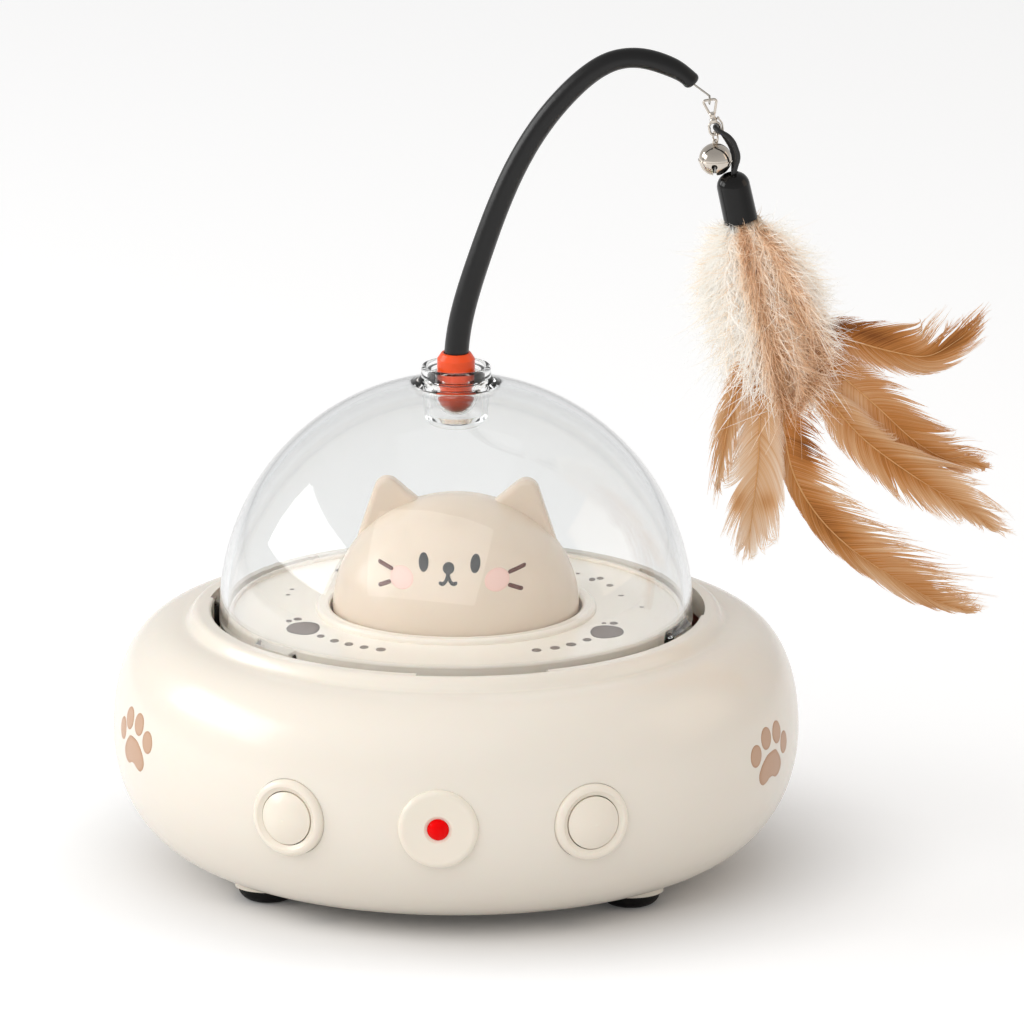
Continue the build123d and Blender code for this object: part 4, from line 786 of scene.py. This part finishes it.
# Stems fan out from the cap in tufts, and end at any depth of the clump.
stem_count = 430
stem_width = (0.3, 0.1)
tuft_count = 64
tuft_spread = (0.07, 0.32)
tuft_share = np.sqrt(chance.uniform(0.012, 1.0, tuft_count))
tuft_turn = chance.uniform(0, 2 * np.pi, tuft_count)
tuft_reach = chance.uniform(0.80, 1.12, tuft_count)
tuft = chance.integers(0, tuft_count, stem_count)
stem_share = np.clip(tuft_share[tuft] + chance.normal(0, tuft_spread[0], stem_count), 0.08, 1.0)
stem_turn = tuft_turn[tuft] + chance.normal(0, tuft_spread[1], stem_count)
stem_reach = tuft_reach[tuft] * chance.uniform(0.6, 1.0, stem_count)
stem_root = down_place(np.zeros(stem_count), stem_turn, chance.uniform(0.1, 0.95, stem_count))
stem_tip = down_place(stem_share, stem_turn, stem_reach)
stem_middle = down_place(stem_share * 0.38, stem_turn, stem_reach * 0.95)
t = np.linspace(0, 1, 9)[None, :, None]
stems = (1 - t)**2 * stem_root[:, None] + 2 * t * (1 - t) * stem_middle[:, None] + t**2 * stem_tip[:, None]
stem_rings = needles(stems, np.broadcast_to(np.linspace(*stem_width, 9), stems.shape[:2]))

# Barbs stand off each stem's outer part. They leave it forward and outward, and the barbs of one
# stem curl together.
barbs_each = 36
barb_length = (3.5, 9.5)
barb_forward, barb_outward, barb_stray = 0.62, 0.72, 0.42
barb_curl, barb_own_curl, barb_sag = 0.30, 0.2, (0, 0, -0.1)
barb_widths = np.array([0.13, 0.16, 0.15, 0.12, 0.08, 0.03])
barb_parts = 3
each = (stem_count, barbs_each)
barb_at = 1 - 0.85 * chance.random(each)**1.2
row = barb_at * 8
low_row = np.minimum(row.astype(int), 7)
stem_index = np.arange(stem_count)[:, None]
near_row = (row - low_row)[..., None]
barb_root = stems[stem_index, low_row] * (1 - near_row) + stems[stem_index, low_row + 1] * near_row
stem_way = stem_tip - stem_middle
stem_way /= np.linalg.norm(stem_way, axis=1)[:, None]
outward = stem_tip - down_place(stem_share, stem_turn, np.zeros(stem_count))
outward /= np.linalg.norm(outward, axis=1)[:, None] + 1e-6
barb_way = barb_forward * stem_way[:, None] + barb_outward * outward[:, None]
barb_way = barb_way + chance.normal(0, barb_stray, (*each, 3))
barb_way[..., 2] += 0.7 * np.clip(0.35 - stem_share, 0, 1)[:, None] * 3
barb_way /= np.linalg.norm(barb_way, axis=2)[..., None]
barb_long = chance.uniform(*barb_length, each) * (0.7 + 0.5 * chance.random((stem_count, 1)))
barb_long *= np.clip(0.5 + 0.9 * stem_share[:, None], 0, 1)
curl = chance.normal(0, barb_curl, (stem_count, 1, 3))
curl = curl + chance.normal(0, barb_own_curl, (*each, 3)) + barb_sag
t = np.linspace(0, 1, 6)
barbs = barb_root[:, :, None] + barb_way[:, :, None] * (barb_long[..., None] * t)[..., None]
barbs = (barbs + curl[:, :, None] * (barb_long[..., None] * t**2)[..., None]).reshape(-1, 6, 3)
barb_shaded_tone = down_tone_and_shade(barbs) + np.repeat(chance.normal(0, 0.10, stem_count), barbs_each)[:, None]
# Painted shade: each barb is darker at its root, deep in the clump, and paler toward its tip.
barb_shaded_tone += 0.22 * (t - 0.35) + chance.normal(0, 0.05, (len(barbs), 1))
barb_rings = needles(barbs, np.broadcast_to(barb_widths, barbs.shape[:2]), 0.35)
barb_shaded_tones = np.broadcast_to(barb_shaded_tone[..., None], barb_rings.shape[:3])
down_parts = [down_heart]
for i in range(barb_parts):
    at = slice(i, None, barb_parts)
    name = "down_barbs_" + str(i + 1)
    down_parts.append(skin(name, barb_rings[at], down_fibre, smooth=False, tone=barb_shaded_tones[at]))
down_parts.append(skin("down_stems", stem_rings, down_fibre, tone=(down_tone_and_shade(stems) + 0.08)[..., None]))
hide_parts("down_tuft")
for piece in down_parts:
    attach(piece, "lure")

# ---- lure: feathers ----
# Six dyed hackles in layers. A feather is a tapering shaft with a row of barbs on each side that
# cling near it and part into clumps at the edge, and its foot is hidden in the down.
# Each has its layer's depth and its stations: x, z, and the half widths on the two sides.
feather_layers = {
    "upper": (3.9, [(82, 139.5, 3, 3), (95.3, 136.4, 5.5, 6.5), (108, 133, 7.5, 6), (117, 132, 9, 5),
                    (124.5, 136.2, 7, 5), (129.3, 140.6, 3, 2.4)]),
    "right": (2.4, [(81, 134, 3, 3), (92.3, 129.2, 5.5, 5), (103, 120.5, 8, 7), (113.4, 110.8, 8, 7),
                    (121, 106.2, 7.5, 5.5), (128, 105, 5, 3), (131.5, 103.8, 2, 1)]),
    "outer": (0.9, [(80, 131, 3, 3), (91, 122.5, 4.5, 5), (101, 111.4, 6, 6), (113, 102.3, 7, 7),
                    (123, 96.0, 9, 6), (130, 91.3, 7.5, 3), (133.8, 88.2, 3.5, 0.8)]),
    "long": (-0.7, [(78, 131, 3, 3), (80.9, 118, 7.5, 3), (83.4, 104, 9.5, 3), (89, 93, 9.5, 3.5),
                    (98, 83.5, 10, 4), (110, 75.3, 10.5, 3.5), (119, 70.4, 8.5, 2.5),
                    (126, 68.2, 4.5, 1.2), (129, 67.6, 2, 0.6)]),
    "front": (-2.2, [(75, 135, 3.5, 3.5), (75.5, 121, 6, 6), (75.2, 106, 6.7, 7.7), (74, 95, 7.4, 7.6),
                     (73.2, 88, 6.3, 6.3), (72.9, 84.8, 4.8, 4.8)]),
    "left": (-3.7, [(73.5, 137, 2, 2), (70.5, 127, 3.2, 3.2), (68, 117, 3.6, 3.6), (66.4, 108, 3, 3),
                    (65, 99, 0.5, 0.5)]),
}
barb_spacing = 0.24
barb_width = 0.26
barb_rows = 14
edge_rows = 600
vane_droop = 0.012
vane_reach = 7.0
shaft_radii = (0.30, 0.06)


def smooth_run(stations, count=400):
    """Stations joined by Catmull-Rom spans, at even steps of length: place, half widths and run."""
    stations = np.array(stations, float)
    ends = np.concatenate([[2 * stations[0] - stations[1]], stations, [2 * stations[-1] - stations[-2]]])
    t = np.linspace(0, len(stations) - 1 - 1e-9, 2000)
    i = t.astype(int)
    line = catmull(ends, i, (t - i)[:, None])
    run = run_of(line[:, :2])
    even = np.linspace(0, run[-1], count)
    return np.stack([np.interp(even, run, line[:, k]) for k in range(4)], 1), run[-1]


def clumps(count, mean, loose, deep, random):
    """Neighbouring barbs gathered into clumps of about a mean size: the clump's middle, the share of
    the barb at which it parts from the next, and the clump's number, for each barb. A share of the
    clumps part deep, not far from the shaft."""
    sizes = 2 + random.geometric(1 / mean, count)
    edges = np.cumsum(sizes)
    member = np.searchsorted(edges, np.arange(count), side="right")
    first = np.concatenate([[0], edges])[member]
    part = random.uniform(loose, 1.0, count)
    part = np.where(random.random(count) < deep, random.uniform(0.2, 0.5, count), part)
    return first + sizes[member] / 2, part[member], member


def vane_edge(line, length, column):
    """One side's edge in the shaft's frame, from the foot round the tip: run and distance, at even steps."""
    run = np.linspace(0, length, len(line))
    end = line[-1, column]
    turn = np.linspace(0, np.pi / 2, 30)[1:]
    run = np.concatenate([run, length + 0.9 * end * np.sin(turn)])
    reach = np.concatenate([line[:, column], end * np.cos(turn)])
    arc = run_of(np.stack([run, reach], 1))
    even = np.linspace(0, arc[-1], edge_rows)
    return np.stack([np.interp(even, arc, run), np.interp(even, arc, reach)])


def barb_side(line, length, layer, side, lead, look, tones, random):
    """The barbs on one side of a shaft: their lines, tones and widths.

    Barbs are laid out in the shaft's own frame. Each starts at a place on the shaft and ends at a
    place on the vane's edge a little ahead of it. It is a quadratic curve that leaves the shaft
    steeply. Past its clump's parting share it bends to the clump's middle.
    """
    mean, loose, deep, fray = look
    count = int(length / barb_spacing)
    f = np.linspace(0, 1, barb_rows)[None]
    edge = vane_edge(line, length, 2 if side > 0 else 3)
    centre, part, member = clumps(count, mean, loose, deep, random)
    group = random.normal(0, 1, (member.max() + 1, 4))[member]
    strand = random.normal(0, 1, (count, 2))
    apart = 1 - part[:, None]
    pull = np.clip((f - part[:, None]) / apart, 0, 1)**1.4
    root = np.linspace(0.01, 0.99, count)
    ahead = root + lead / length * np.sin(np.pi * root**1.25)
    step = (root[-1] - root[0]) / (count - 1)
    drift = 0.62 * step * (centre - np.arange(count))[:, None] * pull
    stray = (0.8 + 1.6 * apart) * group[:, :1] * pull + fray * strand[:, :1] * f**3
    at = np.clip(ahead[:, None] + (drift + stray / length), 0, 1.03) * (edge_rows - 1)
    low = np.minimum(at.astype(int), edge_rows - 2)
    end_run, end_reach = edge[:, low] + (edge[:, low + 1] - edge[:, low]) * (at - low)
    trim = 0.97 + (0.05 + 0.05 * apart) * group[:, 1:2].clip(-2, 2)
    trim = trim - 0.10 * random.random((count, 1))**3 + 0.25 * fray * strand[:, 1:].clip(0, 2)
    f_long = f * trim
    start = (root * length)[:, None]
    run = start + (end_run - start) * (0.7 * f_long * (1 - f_long) + f_long**2)
    reach = np.maximum(end_reach, 0.15) * (1.26 * f_long * (1 - f_long) + f_long**2) * side
    k = np.clip(run / length, 0, 1) * (len(line) - 1)
    near = np.minimum(k.astype(int), len(line) - 2)
    place = line[near] + (line[near + 1] - line[near]) * (k - near)[..., None]
    along = way_of(line)[near]
    normal = np.stack([-along[..., 1], along[..., 0]], -1)
    flat = place[..., :2] + along * np.maximum(run - length, 0)[..., None] + normal * reach[..., None]
    depth = layer - vane_droop * reach**2 + 0.22 * group[:, 2:3] * pull + 0.10 * strand[:, 1:] * f**2
    uneven = 0.06 * group[:, 3:] * f + 0.045 * strand[:, :1] + 0.22 * (f - 0.35)
    tone = tones(run / length, reach / vane_reach, f) + uneven
    width = barb_width * (1 - f**2.2 * 0.86) * np.ones((count, 1))
    return np.stack([flat[..., 0], depth, flat[..., 1]], -1), tone, width


def way_of(line):
    """Unit steps along a shaft's line."""
    way = np.gradient(line[:, :2], axis=0)
    return way / np.linalg.norm(way, axis=1)[:, None]


def feather(layer, stations, seed, lead, looks, tones):
    """One feather as rings for skin(): the barbs of both sides with their tones, and the shaft."""
    random = np.random.default_rng(seed)
    line, length = smooth_run(stations)
    sides = [
        barb_side(line, length, layer, side, lead, look, tones, random)
        for side, look in zip((1.0, -1.0), looks)
    ]
    lines, tone, widths = (np.concatenate(values) for values in zip(*sides))
    rings = needles(lines, widths, 0.25)
    tone = np.broadcast_to(np.clip(tone, 0, 1)[..., None], rings.shape[:3])
    at = slice(None, -16, 6)
    shaft, way = line[at], way_of(line)[at]
    radius = np.linspace(*shaft_radii, len(shaft))[:, None, None]
    turn = np.linspace(0, 2 * np.pi, 10, endpoint=False)[:, None]
    middle = np.stack([shaft[:, 0], np.full(len(shaft), layer - 0.1), shaft[:, 1]], -1)[:, None]
    across = np.stack([-way[:, 1], 0 * way[:, 1], way[:, 0]], -1)[:, None]
    tube = middle + radius * (across * np.cos(turn) + np.array([0, 1.0, 0]) * np.sin(turn))
    return rings, tone, tube[None]


def blot(share, across, place, side, along_size, across_size):
    """A soft-edged patch in a feather's frame, 1 at its middle."""
    return np.exp(-((share - place) / along_size)**2 - ((across - side) / across_size)**2)


def upper_tone(share, across, f):
    """Deep caramel at the tip and along the shaft, with ashy barbs over its root."""
    ash = np.clip((0.66 - share) * 4, 0, 1) * np.clip(across * 2.5, 0, 1)
    return 0.47 - 0.24 * blot(share, across, 0.88, 0.1, 0.16, 0.6) - 0.30 * ash + 0.12 * f


def right_tone(share, across, f):
    """Pale near its root and on its lower edge, caramel over the middle."""
    pale_root = blot(share, across, 0.36, -0.3, 0.14, 0.6)
    pale_edge = blot(share, across, 0.88, -0.8, 0.2, 0.5)
    return 0.46 + 0.20 * pale_root + 0.24 * pale_edge


def outer_tone(share, across, f):
    """Even caramel, paling toward the tip."""
    pale_tip = np.clip(share - 0.75, 0, 1) * 3 * f
    return 0.56 - 0.12 * blot(share, across, 0.6, 0.0, 0.2, 0.5) + 0.20 * pale_tip


def long_tone(share, across, f):
    """Pale at the root, deep caramel along its outer edge, with dark barbs inside its root."""
    deep = 0.24 * blot(share, across, 0.50, 0.0, 0.14, 0.9) + 0.12 * blot(share, across, 0.85, 0.4, 0.12, 0.6)
    pale = 0.10 * blot(share, across, 0.42, 1.1, 0.1, 0.5)
    dark = 0.42 * blot(share, across, 0.24, 0.9, 0.10, 0.7)
    return 0.60 - deep + pale - dark


def front_tone(share, across, f):
    """Creamy, with two brown spots near its round end and a caramel root."""
    spots = blot(share, across, 0.80, -0.55, 0.07, 0.35) + blot(share, across, 0.78, 0.5, 0.06, 0.35)
    return 0.74 - 0.22 * np.exp(-(share / 0.38)**2) - 0.26 * spots + 0.08 * f


def left_tone(share, across, f):
    """Tan at the shaft and pale toward the loose ends."""
    return 0.50 + 0.14 * f


# Each feather's seed, the lead of its barbs' ends over their roots in mm, and for its two sides the
# mean clump size, where clumps part, the share that part deep and the fray of single barbs.
feather_looks = {
    "upper": (21, 13.0, ((3, 0.1, 0.6, 0.6), (10, 0.72, 0.05, 0.2)), upper_tone),
    "right": (22, 11.0, ((9, 0.45, 0.4, 0.4), (16, 0.6, 0.1, 0.2)), right_tone),
    "outer": (23, 12.0, ((12, 0.4, 0.4, 0.4), (9, 0.6, 0.1, 0.3)), outer_tone),
    "long": (24, 14.0, ((3, 0.1, 0.7, 0.8), (18, 0.8, 0.0, 0.15)), long_tone),
    "front": (25, 9.0, ((14, 0.75, 0.05, 0.2), (11, 0.5, 0.4, 0.3)), front_tone),
    "left": (26, 11.0, ((3, 0.1, 0.6, 0.8), (3, 0.1, 0.6, 0.8)), left_tone),
}
hackle_tones = [(0.0, "#3a2c25"), (0.2, "#9a5a20"), (0.42, "#cf8c48"), (0.66, "#e8c193"), (1.0, "#fbf0e2")]
hackle = soft_fibre("dyed_hackle", hackle_tones, 0.55, 0.3, 0.5)
quill = plain_material("feather_quill", "#d39a5c", 0.35)
mottle(quill, "#c98b4c", "#dfae74", 2.0, 0.35, 0.05)
for name, (layer, stations) in feather_layers.items():
    rings, tone, tube = feather(layer, stations, *feather_looks[name])
    vane = skin("feather_" + name + "_barbs", rings, hackle, smooth=False, tone=tone)
    shaft = skin("feather_" + name + "_shaft", tube, quill)
    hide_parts("feather_" + name)
    for piece in (vane, shaft):
        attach(piece, "lure")
